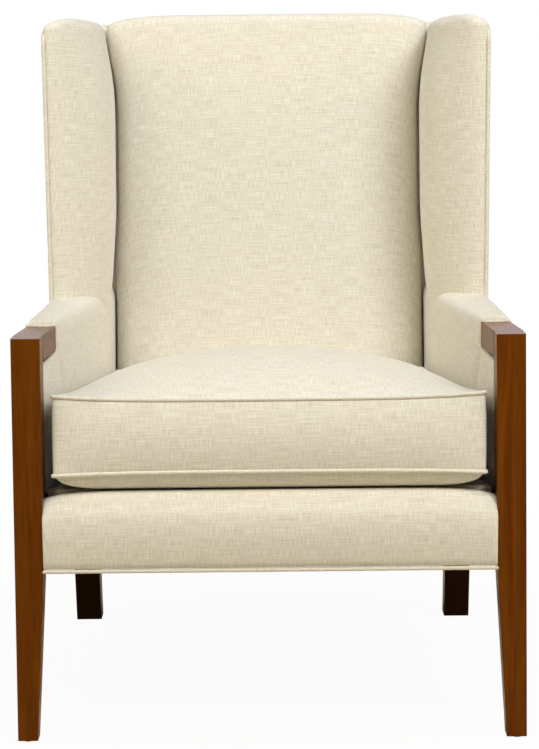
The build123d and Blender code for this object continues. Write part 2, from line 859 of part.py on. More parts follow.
def dowel_joints():
    """Dowels of one side: middle, direction and the two members that each one joins."""
    front_rail_middle = front_rail_setback + rail_thick / 2
    back_rail_middle = rear_leg_depth + back_rail_setback + rail_thick / 2
    side_front = side_x(post_side) - panel_thick - rail_thick / 2
    side_rear = side_x(rear_leg_depth) - panel_thick - rail_thick / 2
    web_low = deck_thick + 2 * web_thick
    front_high = deck_z(post_side) - web_low - rail_bottom
    rear_high = deck_z(back_rail_middle) - web_low - rail_bottom
    arm_middle = arm_height - arm_rail_height / 2
    tack_middle = deck_front_height + tack_rail_lift + tack_rail_height / 2
    board_x = wing_inner_face + wing_board / 2
    top_rail_low = post_top_height - wing_rail_high
    joints = []
    for share in front_rail_dowels:
        z = rail_bottom + share * front_high
        x = post_inner + leg_splay * (arm_height - z) / arm_height
        joints.append(((x, y_at(front_rail_middle), z), (1, 0, 0), ("front_leg", "front_seat_rail")))
    for share in side_rail_dowels:
        z = rail_bottom + share * front_high
        joints.append(((side_front, y_at(post_side), z), (0, 1, 0), ("front_leg", "side_seat_rail")))
    z = rail_bottom + rear_rail_dowel * rear_high
    joints.append(((side_rear, y_at(rear_leg_depth), z), (0, 1, 0), ("rear_leg", "side_seat_rail")))
    joints.append(((rear_leg_inner, y_at(back_rail_middle), z), (1, 0, 0), ("rear_leg", "back_seat_rail")))
    for offset in (-arm_rail_height / 4, arm_rail_height / 4):
        middle = (half_width - post_side / 2, y_at(post_side), arm_middle + offset)
        joints.append((middle, (0, 1, 0), ("front_leg", "arm_rail")))
    arm_rear = (rear_leg_outer - post_side / 2, y_at(post_front(arm_middle)), arm_middle)
    joints.append((arm_rear, (0, 1, 0), ("rear_leg", "arm_rail")))
    tack_front = (tack_x(post_side) + tack_rail_thick / 2, y_at(post_side), tack_middle)
    tack_rear = (tack_x(rear_leg_depth) + tack_rail_thick / 2, y_at(post_front(tack_middle)), tack_middle)
    joints.append((tack_front, (0, 1, 0), ("front_leg", "arm_tack_rail")))
    joints.append((tack_rear, (0, 1, 0), ("rear_leg", "arm_tack_rail")))
    for name, low in (("back_bottom_rail", back_bottom_low), ("back_top_rail", back_top_low)):
        for share in back_rail_dowels:
            local = (rear_leg_inner, low + share * back_rail_high, -back_rail_thick / 2)
            middle = back_plane.from_local_coords(Vector(*local))
            joints.append((tuple(middle), (1, 0, 0), ("rear_leg", name)))
    stile_middle = wing_wrap + stile_deep / 2
    for z, name in ((arm_height, "arm_rail"), (top_rail_low, "wing_top_rail")):
        middle = (board_x, y_at(wing_front(z) + stile_middle), z)
        joints.append((middle, (0, 0, 1), ("wing_stile", name)))
    z = top_rail_low + wing_rail_high / 2
    joints.append(((board_x, y_at(post_front(z)), z), (0, 1, 0), ("rear_leg", "wing_top_rail")))
    return joints


def dowel(middle, direction, extra):
    away = Vector(*direction)
    length = dowel_length + 2 * extra
    return rod(Vector(*middle) - away * (length / 2), away, length, dowel_radius + extra)


def glide_places():
    """Middle of each foot of one side, front then rear."""
    front = (half_width + leg_splay - foot_side / 2, foot_side / 2)
    rear = (rear_leg_outer - rear_leg_width / 2, rear_leg_depth + rear_foot_rake + rear_foot_thick / 2)
    return front, rear


def glide(x, depth, extra):
    floor = (x, y_at(depth), 0)
    up = (0, 0, 1)
    disc = rod(floor, up, glide_height, glide_radius)
    pin = rod(floor, up, glide_height + glide_pin_length + extra, glide_pin_radius + extra)
    return disc + pin


def dust_cover(feet):
    """Thin black cloth tacked under the seat rails, cut out round the legs."""
    tuck = 2 * welt_radius
    start = front_rail_setback + tuck
    end = rear_leg_depth + back_rail_setback + rail_thick - tuck / 2
    edge = [(side_x(d) - panel_thick - tuck, d) for d in (start, end)]
    points = edge + [(-x, d) for x, d in reversed(edge)]
    return plan_prism(points, rail_bottom - dust_cover_thick, rail_bottom) - feet


def bottom_welts(feet):
    """Cords along the lower edge of the upholstery: front, one side and back."""
    z = rail_bottom - welt_radius
    front = rod((-half_width, y_at(welt_radius), z), (1, 0, 0), chair_width, welt_radius)
    start = Vector(side_x(post_side) - welt_radius, y_at(post_side), z)
    end = Vector(rear_half_width - welt_radius, y_at(rear_leg_depth + rear_leg_thick - welt_radius), z)
    side = rod(start, end - start, (end - start).length, welt_radius)
    rear_depth = rear_leg_depth + rear_leg_thick + panel_thick - welt_radius
    back = rod((-rear_half_width, y_at(rear_depth), z), (1, 0, 0), 2 * rear_half_width, welt_radius)
    return front - feet, side - feet, back - feet - side - other_side(side)


# Frame of the right-hand side, mirrored for the left
leg = front_leg()
rear = rear_leg()
right = {
    "front_leg": leg,
    "rear_leg": rear,
    "side_seat_rail": side_seat_rail(),
    "arm_rail": arm_rail(),
    "arm_tack_rail": arm_tack_rail(),
    "wing_stile": wing_stile(),
    "wing_top_rail": wing_top_rail(),
}
front_legs = leg + other_side(leg)
rear_legs = rear + other_side(rear)
all_legs = front_legs + rear_legs
across = {
    "front_seat_rail": front_seat_rail(front_legs),
    "back_seat_rail": back_seat_rail(),
    "back_bottom_rail": back_rail(back_bottom_low),
    "back_top_rail": back_rail(back_top_low),
}
blocks = corner_blocks(leg, rear)

# Upholstery of the right-hand side
arm = arm_form()
wing = wing_form(arm)
welt = wing_welt(arm)
arm_padding = arm_pad(arm, right["arm_rail"], right["wing_stile"])
wing_padding = wing - wing_hollow() - welt
arm_panel = outside_arm_panel(rear, leg)
wing_panel = outside_wing_panel(arm) - welt
back_padding = back_form()
for neighbour in (arm, wing, welt):
    back_padding = back_padding - neighbour - other_side(neighbour)

# Joinery: every dowel and screw has its hole
dowels = []
for middle, direction, members in dowel_joints():
    pin = dowel(middle, direction, 0.0)
    hole = dowel(middle, direction, dowel_clear)
    dowels += [pin, other_side(pin)]
    for name in members:
        if name in right:
            right[name] -= hole
        else:
            across[name] = across[name] - hole - other_side(hole)
screws = []
block_pieces = []
for piece, (start, direction, length), leg_name in zip(blocks, corner_screws(), ("front_leg", "rear_leg")):
    pin = screw(start, direction, length, 0.0)
    hole = screw(start, direction, length, dowel_clear)
    screws += [pin, other_side(pin)]
    right[leg_name] -= hole
    block_pieces += [piece - hole, other_side(piece - hole)]
    across["front_seat_rail"] = across["front_seat_rail"] - hole - other_side(hole)
glides = []
for (x, depth), leg_name in zip(glide_places(), ("front_leg", "rear_leg")):
    foot = glide(x, depth, 0.0)
    glides += [foot, other_side(foot)]
    right[leg_name] -= glide(x, depth, dowel_clear)

# Loose cushion
cover_outside = cushion_form(0.0)
cushion_core = cushion_form(cover_cloth)
welt_low = cushion_welt(belly_height)
welt_high = cushion_welt(belly_height + boxing_height)

nodes = dict(across)
for name, piece in right.items():
    nodes[name + "_right"] = piece
    nodes[name + "_left"] = other_side(piece)
for name, piece in {
    "arm_pad": arm_padding,
    "wing_pad": wing_padding,
    "outside_arm_panel": arm_panel,
    "outside_wing_panel": wing_panel,
    "wing_welt": welt,
}.items():
    nodes[name + "_right"] = piece
    nodes[name + "_left"] = other_side(piece)
front_welt, side_welt, back_welt = bottom_welts(all_legs)
nodes["corner_blocks"] = Compound(children=block_pieces)
nodes["corner_block_screws"] = Compound(children=screws)
nodes["frame_dowels"] = Compound(children=dowels)
nodes["foot_glides"] = Compound(children=glides)
nodes["seat_webbing"] = seat_webbing()
nodes["back_webbing"] = back_webbing(back_bottom_low, back_top_low)
nodes["seat_deck"] = seat_deck()
nodes["front_rail_cover"] = front_cover(front_legs)
nodes["inside_back_pad"] = back_padding.solids().sort_by(SortBy.VOLUME)[-1]
nodes["outside_back_panel"] = outside_back_panel()
nodes["dust_cover"] = dust_cover(all_legs)
nodes["front_rail_welt"] = front_welt
nodes["side_rail_welt_right"] = side_welt
nodes["side_rail_welt_left"] = other_side(side_welt)
nodes["back_rail_welt"] = back_welt
nodes["seat_cushion_cover"] = cover_outside - cushion_core - welt_low - welt_high
nodes["seat_cushion_core"] = cushion_core - welt_low - welt_high
nodes["seat_cushion_welt_top"] = welt_high
nodes["seat_cushion_welt_bottom"] = welt_low
nodes["cushion_zip"] = zip_tape()
nodes["zip_slider"] = zip_slider()
nodes["zip_pull"] = zip_pull()

os.makedirs("parts", exist_ok=True)
for name, shape in nodes.items():
    export_step(shape, f"parts/{name}.step")
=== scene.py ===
from math import cos, pi, radians, sin, sqrt, tan

import bmesh
import bpy
import numpy as np
from bpy.props import FloatProperty, FloatVectorProperty, PointerProperty
from mathutils import Matrix, Vector


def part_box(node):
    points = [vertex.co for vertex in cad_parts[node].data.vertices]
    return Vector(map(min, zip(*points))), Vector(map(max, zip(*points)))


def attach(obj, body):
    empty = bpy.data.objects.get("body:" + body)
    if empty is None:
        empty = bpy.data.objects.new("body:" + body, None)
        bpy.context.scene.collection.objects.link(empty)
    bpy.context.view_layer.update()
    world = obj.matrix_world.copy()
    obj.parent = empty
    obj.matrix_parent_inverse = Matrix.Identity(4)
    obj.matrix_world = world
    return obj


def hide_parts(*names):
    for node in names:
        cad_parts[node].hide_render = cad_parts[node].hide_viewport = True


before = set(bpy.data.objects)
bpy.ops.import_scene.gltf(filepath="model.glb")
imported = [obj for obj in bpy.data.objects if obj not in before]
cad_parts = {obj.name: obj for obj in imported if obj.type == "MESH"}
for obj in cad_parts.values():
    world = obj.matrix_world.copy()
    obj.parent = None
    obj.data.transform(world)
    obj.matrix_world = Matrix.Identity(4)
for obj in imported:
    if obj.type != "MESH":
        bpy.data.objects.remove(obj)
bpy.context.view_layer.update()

bl_info = {
    "name": "Wing chair",
    "version": (1, 0, 0),
    "blender": (4, 5, 0),
    "location": "View3D > Sidebar > Chair",
    "description": "Upholstery, welts, wood and zip of a wing chair, made over its packed frame",
    "category": "Object",
}

MM = 0.001
FRONT_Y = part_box("front_leg_left")[0].y
SEAT_PITCH = radians(5.0)
RECLINE = tan(radians(10.0))
WEAVE_MAP = "weave"
SIDES = (("right", 1), ("left", -1))


# Measures in millimetres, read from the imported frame; depths start at the front of the posts


def top_of(node):
    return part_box(node)[1].z / MM


def bottom_of(node):
    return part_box(node)[0].z / MM


def depth_of(y):
    return (y - FRONT_Y) / MM


ARM_TOP = top_of("arm_pad_right")
WING_TOP = top_of("wing_pad_right")
BACK_TOP = top_of("inside_back_pad")
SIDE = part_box("inside_back_pad")[1].x / MM
POST_SIDE = depth_of(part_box("front_leg_right")[1].y)
HALF_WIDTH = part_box("arm_rail_right")[1].x / MM
POST_INNER = HALF_WIDTH - POST_SIDE
RAIL_LOW = bottom_of("front_rail_cover")
ARM_RAIL_LOW = bottom_of("arm_rail_right")
CAP_LOW = top_of("rear_leg_right")
REAR = depth_of(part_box("inside_back_pad")[1].y)


# Measures in millimetres that no box of the frame gives


DECK_FRONT = 375.0  # height of the deck's front edge
DECK_THICK = 17.0
REAR_LEG = 600.0  # depth of the back posts' front faces at the seat
KNEE = 345.0  # height above which the back posts recline
POST_THICK = 48.0
POST_TAPER = 10.0
PAD_CLEAR = 6.0  # from the pads to the posts behind them
STUB_END = 138.0  # depth where the bare arm wood ends
ARM_CREASE = 565.0  # depth where the arms meet the back
ARM_REAR = 266.0  # half the width between the arms there
ARM_TUCK = (458.0, 484.0)  # heights where an arm's front edge comes out of its tuck
FOLD_TOP = 548.0  # height of the arm's fold at the stub's end
FOLD_SLOPE = 1.25
FOLD_DEPTH = 160.0  # depth where the fold is deepest
FOLD_SWELL = (106.0, 506.0)  # depth and height of the fuller place in front of it
BACK_FRONT = 529.0  # depth of the back's crown at the deck
BACK_CROWN = 24.0  # how far the back falls away towards its creases
BACK_ROLL = 26.0  # radius of the back's rolled sides
BACK_EDGE = (262.0, 282.0)  # half the back's width above the arms and near its top
WING_FRONT = 412.0  # depth of a wing's front edge at the arm
WING_SLOPE = 28.0  # how far that edge slopes back to the top
WING_LEAN = 5.0
WING_ROOT = 95.0  # how far a wing runs down below the arm's top
WING_INNER = 258.0  # half the width between the wings at their fullest
WING_DOME = 21.0  # rise of a wing's domed top
WING_CREASE = 274.0  # half the width between the creases beside the wings
CREASE_DEPTH = 40.0
CAP_STEP = 46.5  # how far the wings run back over the posts
PANEL_LAP = 24.0  # how far below the arm's top the outside wing starts
COVER_SWELL = 9.5
DUST_INSET = 11.0
DUST_SAG = 4.0
LEG_CLEAR = 3.0


def deck_height(depth):
    """Height of the sloping seat deck at a depth."""
    return DECK_FRONT - depth * tan(SEAT_PITCH)


def side_x(depth):
    """Outer face of the upholstery beside the seat."""
    return HALF_WIDTH - (HALF_WIDTH - SIDE) * np.minimum(depth, REAR_LEG) / REAR_LEG


def arm_face(depth):
    """Inner face of an arm."""
    inner = POST_INNER - 0.5
    share = (np.minimum(depth, ARM_CREASE) - POST_SIDE) / (ARM_CREASE - POST_SIDE)
    return inner - (inner - ARM_REAR) * share


def wing_share(z):
    """Share of a wing's height over the arm."""
    return (z - ARM_TOP) / (WING_TOP - ARM_TOP)


def wing_front(z):
    """Depth of a wing's front edge, which slopes back towards its top."""
    return WING_FRONT + WING_SLOPE * wing_share(z)


def wing_side(z):
    """Outer face of a wing, which leans out a little towards its top."""
    return SIDE + WING_LEAN * wing_share(z)


def back_face(z):
    """Depth of the back's crown at a height."""
    return BACK_FRONT + (z - deck_height(BACK_FRONT)) * RECLINE


def crease_depth(z):
    """Depth of the crease between a wing and the back."""
    return back_face(z) + BACK_CROWN + 10.0


def post_face(z):
    """Depth of a back post's front face, which reclines above the knee."""
    return REAR_LEG + np.maximum(z - KNEE, 0.0) * RECLINE


def post_back(z):
    """Depth of a back post's rear face: the post grows thinner towards its top."""
    return REAR_LEG + POST_THICK + np.maximum(z - KNEE, 0.0) * (RECLINE - POST_TAPER / (CAP_LOW - KNEE))


def place(points):
    """Chair measures (across, depth, height) in millimetres to metres in the frame."""
    out = np.asarray(points, float) * MM
    out[..., 1] += FRONT_Y
    return out


def on_deck(points):
    """Measures in the plane of the seat deck to chair measures."""
    x, y, z = np.moveaxis(np.asarray(points, float), -1, 0)
    depth = y * cos(SEAT_PITCH) + z * sin(SEAT_PITCH)
    height = DECK_FRONT - y * sin(SEAT_PITCH) + z * cos(SEAT_PITCH)
    return np.stack([x, depth, height], -1)


def ramp(value, low, high):
    """Smooth step from 0 at low to 1 at high."""
    t = np.clip((np.asarray(value, float) - low) / (high - low), 0.0, 1.0)
    return t * t * (3 - 2 * t)


def even_points(line, count):
    """Evenly spaced points along a row of points."""
    along = np.concatenate([[0], np.cumsum(np.linalg.norm(np.diff(line, axis=0), axis=1))])
    wanted = np.linspace(0, along[-1], count)
    return np.stack([np.interp(wanted, along, column) for column in line.T], -1)


def smooth_line(keys, count):
    """Evenly spaced points on a smooth curve through key points."""
    keys = np.asarray(keys, float)
    keys = np.vstack([2 * keys[0] - keys[1], keys, 2 * keys[-1] - keys[-2]])
    t = np.linspace(0, 1, 16, endpoint=False)[:, None]
    runs = []
    for a, b, c, d in zip(keys, keys[1:], keys[2:], keys[3:]):
        square = 2 * a - 5 * b + 4 * c - d
        cube = 3 * b - a - 3 * c + d
        runs.append(0.5 * (2 * b + (c - a) * t + square * t**2 + cube * t**3))
    runs.append(keys[-2:-1])
    return even_points(np.vstack(runs), count)


# Meshes


WELD = 0.00002
SWELL_LIMIT = 0.024
SWELL_FRAMES = 20


def new_object(name, mesh, finish):
    """A smooth piece with one material."""
    obj = bpy.data.objects.new(name, mesh)
    bpy.context.scene.collection.objects.link(obj)
    mesh.materials.clear()
    mesh.materials.append(finish)
    mesh.polygons.foreach_set("use_smooth", [True] * len(mesh.polygons))
    return obj


def close_mesh(mesh):
    """Merges doubled points and turns all faces outwards."""
    bm = bmesh.new()
    bm.from_mesh(mesh)
    bmesh.ops.remove_doubles(bm, verts=bm.verts, dist=WELD)
    bmesh.ops.recalc_face_normals(bm, faces=bm.faces)
    bm.to_mesh(mesh)
    bm.free()
    mesh.update()


def thread_lengths(points, axis):
    """Lengths along one direction of a grid, counted from its middle."""
    steps = np.linalg.norm(np.diff(points, axis=axis), axis=2)
    start = np.zeros_like(np.take(steps, [0], axis))
    lengths = np.concatenate([start, np.cumsum(steps, axis)], axis)
    return lengths - np.take(lengths, [lengths.shape[axis] // 2], axis)


def cloth_mesh(name, grids, upright=False):
    """One mesh from grids of points in metres, with thread lengths as a map, turned for upright pieces."""
    verts, faces, maps, pins = [], [], [], []
    start = 0
    for points, pinned in grids:
        rows, columns = points.shape[:2]
        index = np.arange(rows * columns).reshape(rows, columns)
        corners = (index[:-1, :-1], index[:-1, 1:], index[1:, 1:], index[1:, :-1])
        quads = np.stack(corners, -1).reshape(-1, 4)
        u, v = thread_lengths(points, 1), thread_lengths(points, 0)
        threads = np.stack([v, u] if upright else [u, v], -1).reshape(-1, 2)
        verts.append(points.reshape(-1, 3))
        faces.append(quads + start)
        maps.append(threads[quads].reshape(-1, 2))
        pins.append(np.broadcast_to(pinned, (rows, columns)).reshape(-1))
        start += rows * columns
    mesh = bpy.data.meshes.new(name)
    mesh.from_pydata(np.vstack(verts).tolist(), [], np.vstack(faces).tolist())
    layer = mesh.uv_layers.new(name=WEAVE_MAP)
    layer.uv.foreach_set("vector", np.vstack(maps).astype(np.float32).ravel())
    held = mesh.attributes.new("held", "FLOAT", "POINT")
    held.data.foreach_set("value", np.concatenate(pins).astype(np.float32))
    close_mesh(mesh)
    return mesh


def ring_grids(rings):
    """Grids of a closed skin over rings, each with an even count of points: its wall and its two caps."""
    rings = np.asarray(rings, float)
    grids = [(np.concatenate([rings, rings[:, :1]], 1), 0.0)]
    for ring in (rings[0], rings[-1]):
        half = len(ring) // 2
        far = np.vstack([ring[:1], ring[half:][::-1]])
        grids.append((np.stack([ring[: half + 1], far]), 1.0))
    return grids


def pull(obj, pressure):
    """Cloth under pressure from inside, held at its seams, and moved no further than the limit."""
    scene = bpy.context.scene
    mesh = obj.data
    start = np.zeros(len(mesh.vertices) * 3, np.float32)
    end = np.zeros_like(start)
    mesh.vertices.foreach_get("co", start)
    held = np.zeros(len(mesh.vertices), np.float32)
    mesh.attributes["held"].data.foreach_get("value", held)
    group = obj.vertex_groups.new(name="seams")
    for weight in (0.5, 1.0):
        group.add(np.nonzero(held >= weight)[0].tolist(), weight, "REPLACE")
    swelling = obj.modifiers.new("Filling", "CLOTH")
    settings = swelling.settings
    settings.quality = 5
    settings.use_pressure = True
    settings.uniform_pressure_force = pressure
    settings.effector_weights.gravity = 0.0
    settings.vertex_group_mass = group.name
    settings.tension_stiffness = 15.0
    settings.compression_stiffness = 15.0
    settings.bending_stiffness = 0.6
    swelling.point_cache.frame_start = 1
    swelling.point_cache.frame_end = SWELL_FRAMES
    for number in range(1, SWELL_FRAMES + 1):
        scene.frame_set(number)
    evaluated = obj.evaluated_get(bpy.context.evaluated_depsgraph_get())
    evaluated.data.vertices.foreach_get("co", end)
    obj.modifiers.remove(swelling)
    scene.frame_set(1)
    move = (end - start).reshape(-1, 3)
    length = np.linalg.norm(move, axis=1, keepdims=True)
    move *= np.minimum(1.0, SWELL_LIMIT / np.maximum(length, 1e-9))
    mesh.vertices.foreach_set("co", (start.reshape(-1, 3) + move).astype(np.float32).ravel())
    mesh.update()
    obj.vertex_groups.clear()


def refine(obj):
    """Finer quads, the same in the viewport as in renders."""
    finer = obj.modifiers.new("Finer", "SUBSURF")
    finer.levels = 1
    finer.render_levels = 1


def settle(obj, body, nodes=()):
    """Puts a finished piece on its body, in place of its solids."""
    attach(obj, body)
    if nodes:
        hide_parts(*nodes)
    return obj


def upholster(name, skin, node, sign=1, upright=False, fine=True):
    """A padded piece of the frame from the rings of its skin, or its mirror image where sign is -1."""
    mesh = cloth_mesh(name, ring_grids(place(skin)), upright)
    if sign < 0:
        mesh.transform(Matrix.Scale(-1, 4, (1, 0, 0)))
        mesh.flip_normals()
    obj = new_object(name, mesh, linen())
    if fine:
        refine(obj)
    return settle(obj, "frame", [node])


# Node trees


GRAIN_STRETCH = 0.05
CORD_STEP = 0.004
CORD_SIDES = 14
TOOTH_SIZE = (0.0016, 0.0016, 0.003)


def feed(tree, node, values):
    """Sets a node's inputs to values, or links them to other nodes' sockets."""
    for key, value in values.items():
        if isinstance(value, bpy.types.NodeSocket):
            tree.links.new(value, node.inputs[key])
        else:
            node.inputs[key].default_value = value


def add(tree, kind, values=None, **settings):
    """A node with its settings, whose inputs are values or other nodes' sockets."""
    made = tree.nodes.new(kind)
    for key, value in settings.items():
        setattr(made, key, value)
    feed(tree, made, values or {})
    return made


def maths(tree, operation, *values):
    """Result of a maths node."""
    return add(tree, "ShaderNodeMath", dict(enumerate(values)), operation=operation).outputs[0]


def noise(tree, spot, scale, detail, roughness=0.5, distortion=0.0):
    """Value of a noise texture."""
    values = {"Vector": spot, "Scale": scale, "Detail": detail, "Roughness": roughness}
    return add(tree, "ShaderNodeTexNoise", {**values, "Distortion": distortion}).outputs[0]


def remap(tree, value, low, high, start=0.0, end=1.0):
    """A value between low and high turned into one between start and end."""
    return add(tree, "ShaderNodeMapRange", {0: value, 1: low, 2: high, 3: start, 4: end}).outputs[0]


def blend(tree, share, first, second):
    """Mix of two colours."""
    values = {"Factor": share, 6: (*first, 1), 7: (*second, 1)}
    return add(tree, "ShaderNodeMix", values, data_type="RGBA").outputs[2]


def turned_place(tree, turn):
    """Object coordinates, turned."""
    spot = add(tree, "ShaderNodeTexCoord")
    return add(tree, "ShaderNodeMapping", {"Vector": spot.outputs["Object"], "Rotation": turn}).outputs[0]


def new_tree(name, kind, inputs, outputs):
    """A node tree with named inputs and outputs, and the sockets of its two end nodes."""
    tree = bpy.data.node_groups.new(name, kind)
    for sockets, way in ((inputs, "INPUT"), (outputs, "OUTPUT")):
        for label, value in sockets.items():
            tree.interface.new_socket(label, in_out=way, socket_type=f"NodeSocket{value}")
    return tree, tree.nodes.new("NodeGroupInput").outputs, tree.nodes.new("NodeGroupOutput").inputs


def weave_group():
    """Plain weave with uneven yarns: long thick places along the warp and along the weft."""
    name = "Slub weave"
    if name in bpy.data.node_groups:
        return bpy.data.node_groups[name]
    inputs = {"Threads": "Vector", "Pitch": "Float", "Slub length": "Float"}
    tree, given, out = new_tree(name, "ShaderNodeTree", inputs, {"Tone": "Float", "Height": "Float"})
    split = add(tree, "ShaderNodeSeparateXYZ", {0: given["Threads"]})
    u, v = split.outputs[0], split.outputs[1]
    turn = maths(tree, "DIVIDE", pi, given["Pitch"])
    waves = [maths(tree, "SINE", maths(tree, "MULTIPLY", way, turn)) for way in (u, v)]
    across = maths(tree, "DIVIDE", 0.75, given["Pitch"])
    warp = maths(tree, "DIVIDE", 1.0, given["Slub length"])
    weft = maths(tree, "MULTIPLY", warp, 0.45)
    tones = []
    for first, second, layer in ((across, warp, 3.0), (weft, across, 11.0)):
        stretched = {0: maths(tree, "MULTIPLY", u, first), 1: maths(tree, "MULTIPLY", v, second), 2: layer}
        streak = add(tree, "ShaderNodeCombineXYZ", stretched)
        yarn = noise(tree, streak.outputs[0], 1.0, detail=1.0)
        tones.append(remap(tree, yarn, 0.32, 0.68))
    blotch = noise(tree, given["Threads"], 22.0, detail=2.0)
    yarns = maths(tree, "MULTIPLY", maths(tree, "ADD", *tones), 0.39)
    tone = maths(tree, "ADD", yarns, maths(tree, "MULTIPLY_ADD", blotch, 0.05, 0.06))
    over = maths(tree, "MULTIPLY", *waves)
    height = maths(tree, "ADD", maths(tree, "MULTIPLY", over, 0.35), tone)
    tree.links.new(tone, out["Tone"])
    tree.links.new(height, out["Height"])
    return tree


def grain_group():
    """Wood grain that runs along the third axis: growth bands, streaks and fine pores."""
    name = "Wood grain"
    if name in bpy.data.node_groups:
        return bpy.data.node_groups[name]
    outputs = {"Tone": "Float", "Pores": "Float"}
    tree, given, out = new_tree(name, "ShaderNodeTree", {"Place": "Vector"}, outputs)
    split = add(tree, "ShaderNodeSeparateXYZ", {0: given["Place"]})
    long = maths(tree, "MULTIPLY", split.outputs[2], GRAIN_STRETCH)
    values = {0: split.outputs[0], 1: split.outputs[1], 2: long}
    along = add(tree, "ShaderNodeCombineXYZ", values).outputs[0]
    bands = noise(tree, along, 55.0, detail=4.0, roughness=0.55, distortion=0.6)
    streaks = noise(tree, along, 420.0, detail=3.0)
    pores = noise(tree, along, 1500.0, detail=1.0)
    tone = maths(tree, "ADD", maths(tree, "MULTIPLY", bands, 0.65), maths(tree, "MULTIPLY", streaks, 0.35))
    tree.links.new(remap(tree, tone, 0.33, 0.67), out["Tone"])
    tree.links.new(remap(tree, pores, 0.35, 0.6), out["Pores"])
    return tree


def new_material(name):
    """A new material, its node tree and its Principled shader."""
    made = bpy.data.materials.new(name)
    made.use_nodes = True
    return made, made.node_tree, made.node_tree.nodes["Principled BSDF"]


def cloth(name, light, dark, pitch, slub=0.05, bump=0.35, sheen=0.35, turn=None):
    """Woven cloth whose threads follow the piece's own map, or Object coordinates where a turn is given."""
    if name in bpy.data.materials:
        return bpy.data.materials[name]
    made, tree, shader = new_material(name)
    if turn is None:
        threads = add(tree, "ShaderNodeUVMap", uv_map=WEAVE_MAP).outputs[0]
    else:
        threads = turned_place(tree, turn)
    values = {"Threads": threads, "Pitch": pitch, "Slub length": slub}
    weave = add(tree, "ShaderNodeGroup", values, node_tree=weave_group()).outputs
    lumps = add(tree, "ShaderNodeBump", {"Strength": bump, "Distance": 0.0006, "Height": weave["Height"]})
    feed(tree, shader, {
        "Base Color": blend(tree, weave["Tone"], light, dark),
        "Normal": lumps.outputs[0],
        "Roughness": 0.92,
        "Sheen Weight": sheen,
        "Sheen Roughness": 0.5,
        "Specular IOR Level": 0.2,
    })
    return made


def wood(name, light, dark, turn=(0, 0, 0), rough=0.3, coat=0.7):
    """Wood on Object coordinates, with a clear finish where it has a coat."""
    if name in bpy.data.materials:
        return bpy.data.materials[name]
    made, tree, shader = new_material(name)
    values = {"Place": turned_place(tree, turn)}
    grain = add(tree, "ShaderNodeGroup", values, node_tree=grain_group()).outputs
    lumps = add(tree, "ShaderNodeBump", {"Strength": 0.06, "Distance": 0.0003, "Height": grain["Pores"]})
    rim = add(tree, "ShaderNodeLayerWeight", {"Blend": 0.35})
    gloss = maths(tree, "MULTIPLY", maths(tree, "POWER", rim.outputs["Facing"], 2.0), coat)
    feed(tree, shader, {
        "Base Color": blend(tree, grain["Tone"], dark, light),
        "Roughness": remap(tree, grain["Pores"], 0.0, 1.0, rough + 0.12, rough),
        "Normal": lumps.outputs[0],
        "Coat Weight": gloss,
        "Coat Roughness": 0.12,
        "Specular IOR Level": 0.04,
    })
    return made


def speckled(name, light, dark, metallic, rough):
    """Moulded plastic or drawn metal with fine marks."""
    if name in bpy.data.materials:
        return bpy.data.materials[name]
    made, tree, shader = new_material(name)
    spot = add(tree, "ShaderNodeTexCoord")
    marks = noise(tree, spot.outputs["Object"], 900.0, detail=3.0)
    feed(tree, shader, {
        "Base Color": blend(tree, marks, dark, light),
        "Roughness": remap(tree, marks, 0.0, 1.0, rough - 0.08, rough + 0.08),
        "Metallic": metallic,
    })
    return made


def linen():
    """The chair's main cloth."""
    colours = bpy.context.scene.chair_colours
    sizes = bpy.context.scene.chair_sizes
    return cloth("Slub linen", colours.linen, colours.slub, sizes.thread_pitch, sizes.slub_length)


def end_tree(tree, geometry, finish, out):
    """Ends a tree of geometry nodes with a real mesh in its material."""
    real = add(tree, "GeometryNodeRealizeInstances", {0: geometry})
    covered = add(tree, "GeometryNodeSetMaterial", {"Geometry": real.outputs[0], "Material": finish})
    tree.links.new(covered.outputs[0], out)
    return tree


def cord_tree():
    """Cloth-covered cord along a path of edges, with its threads on the bias."""
    name = "Welt cord"
    if name in bpy.data.node_groups:
        return bpy.data.node_groups[name]
    inputs = {"Path": "Geometry", "Radius": "Float", "Cloth": "Material"}
    tree, given, out = new_tree(name, "GeometryNodeTree", inputs, {"Cord": "Geometry"})
    line = add(tree, "GeometryNodeMeshToCurve", {"Mesh": given["Path"]})
    values = {"Curve": line.outputs[0], "Length": CORD_STEP}
    even = add(tree, "GeometryNodeResampleCurve", values, mode="LENGTH")
    values = {"Resolution": CORD_SIDES, "Radius": given["Radius"]}
    circle = add(tree, "GeometryNodeCurvePrimitiveCircle", values)
    kept = []
    for curve in (even, circle):
        keep = add(tree, "GeometryNodeCaptureAttribute")
        keep.capture_items.new("FLOAT", "Length")
        measure = add(tree, "GeometryNodeSplineParameter")
        feed(tree, keep, {0: curve.outputs[0], "Length": measure.outputs["Length"]})
        kept.append(keep.outputs)
    values = {"Curve": kept[0][0], "Profile Curve": kept[1][0], "Fill Caps": True}
    cord = add(tree, "GeometryNodeCurveToMesh", values)
    sums = [maths(tree, way, kept[0]["Length"], kept[1]["Length"]) for way in ("ADD", "SUBTRACT")]
    bias = {k: maths(tree, "MULTIPLY", length, sqrt(0.5)) for k, length in enumerate(sums)}
    threads = add(tree, "ShaderNodeCombineXYZ", bias)
    mapped = add(tree, "GeometryNodeStoreNamedAttribute", data_type="FLOAT2", domain="CORNER")
    feed(tree, mapped, {"Geometry": cord.outputs[0], "Name": WEAVE_MAP, "Value": threads.outputs[0]})
    return end_tree(tree, mapped.outputs[0], given["Cloth"], out["Cord"])


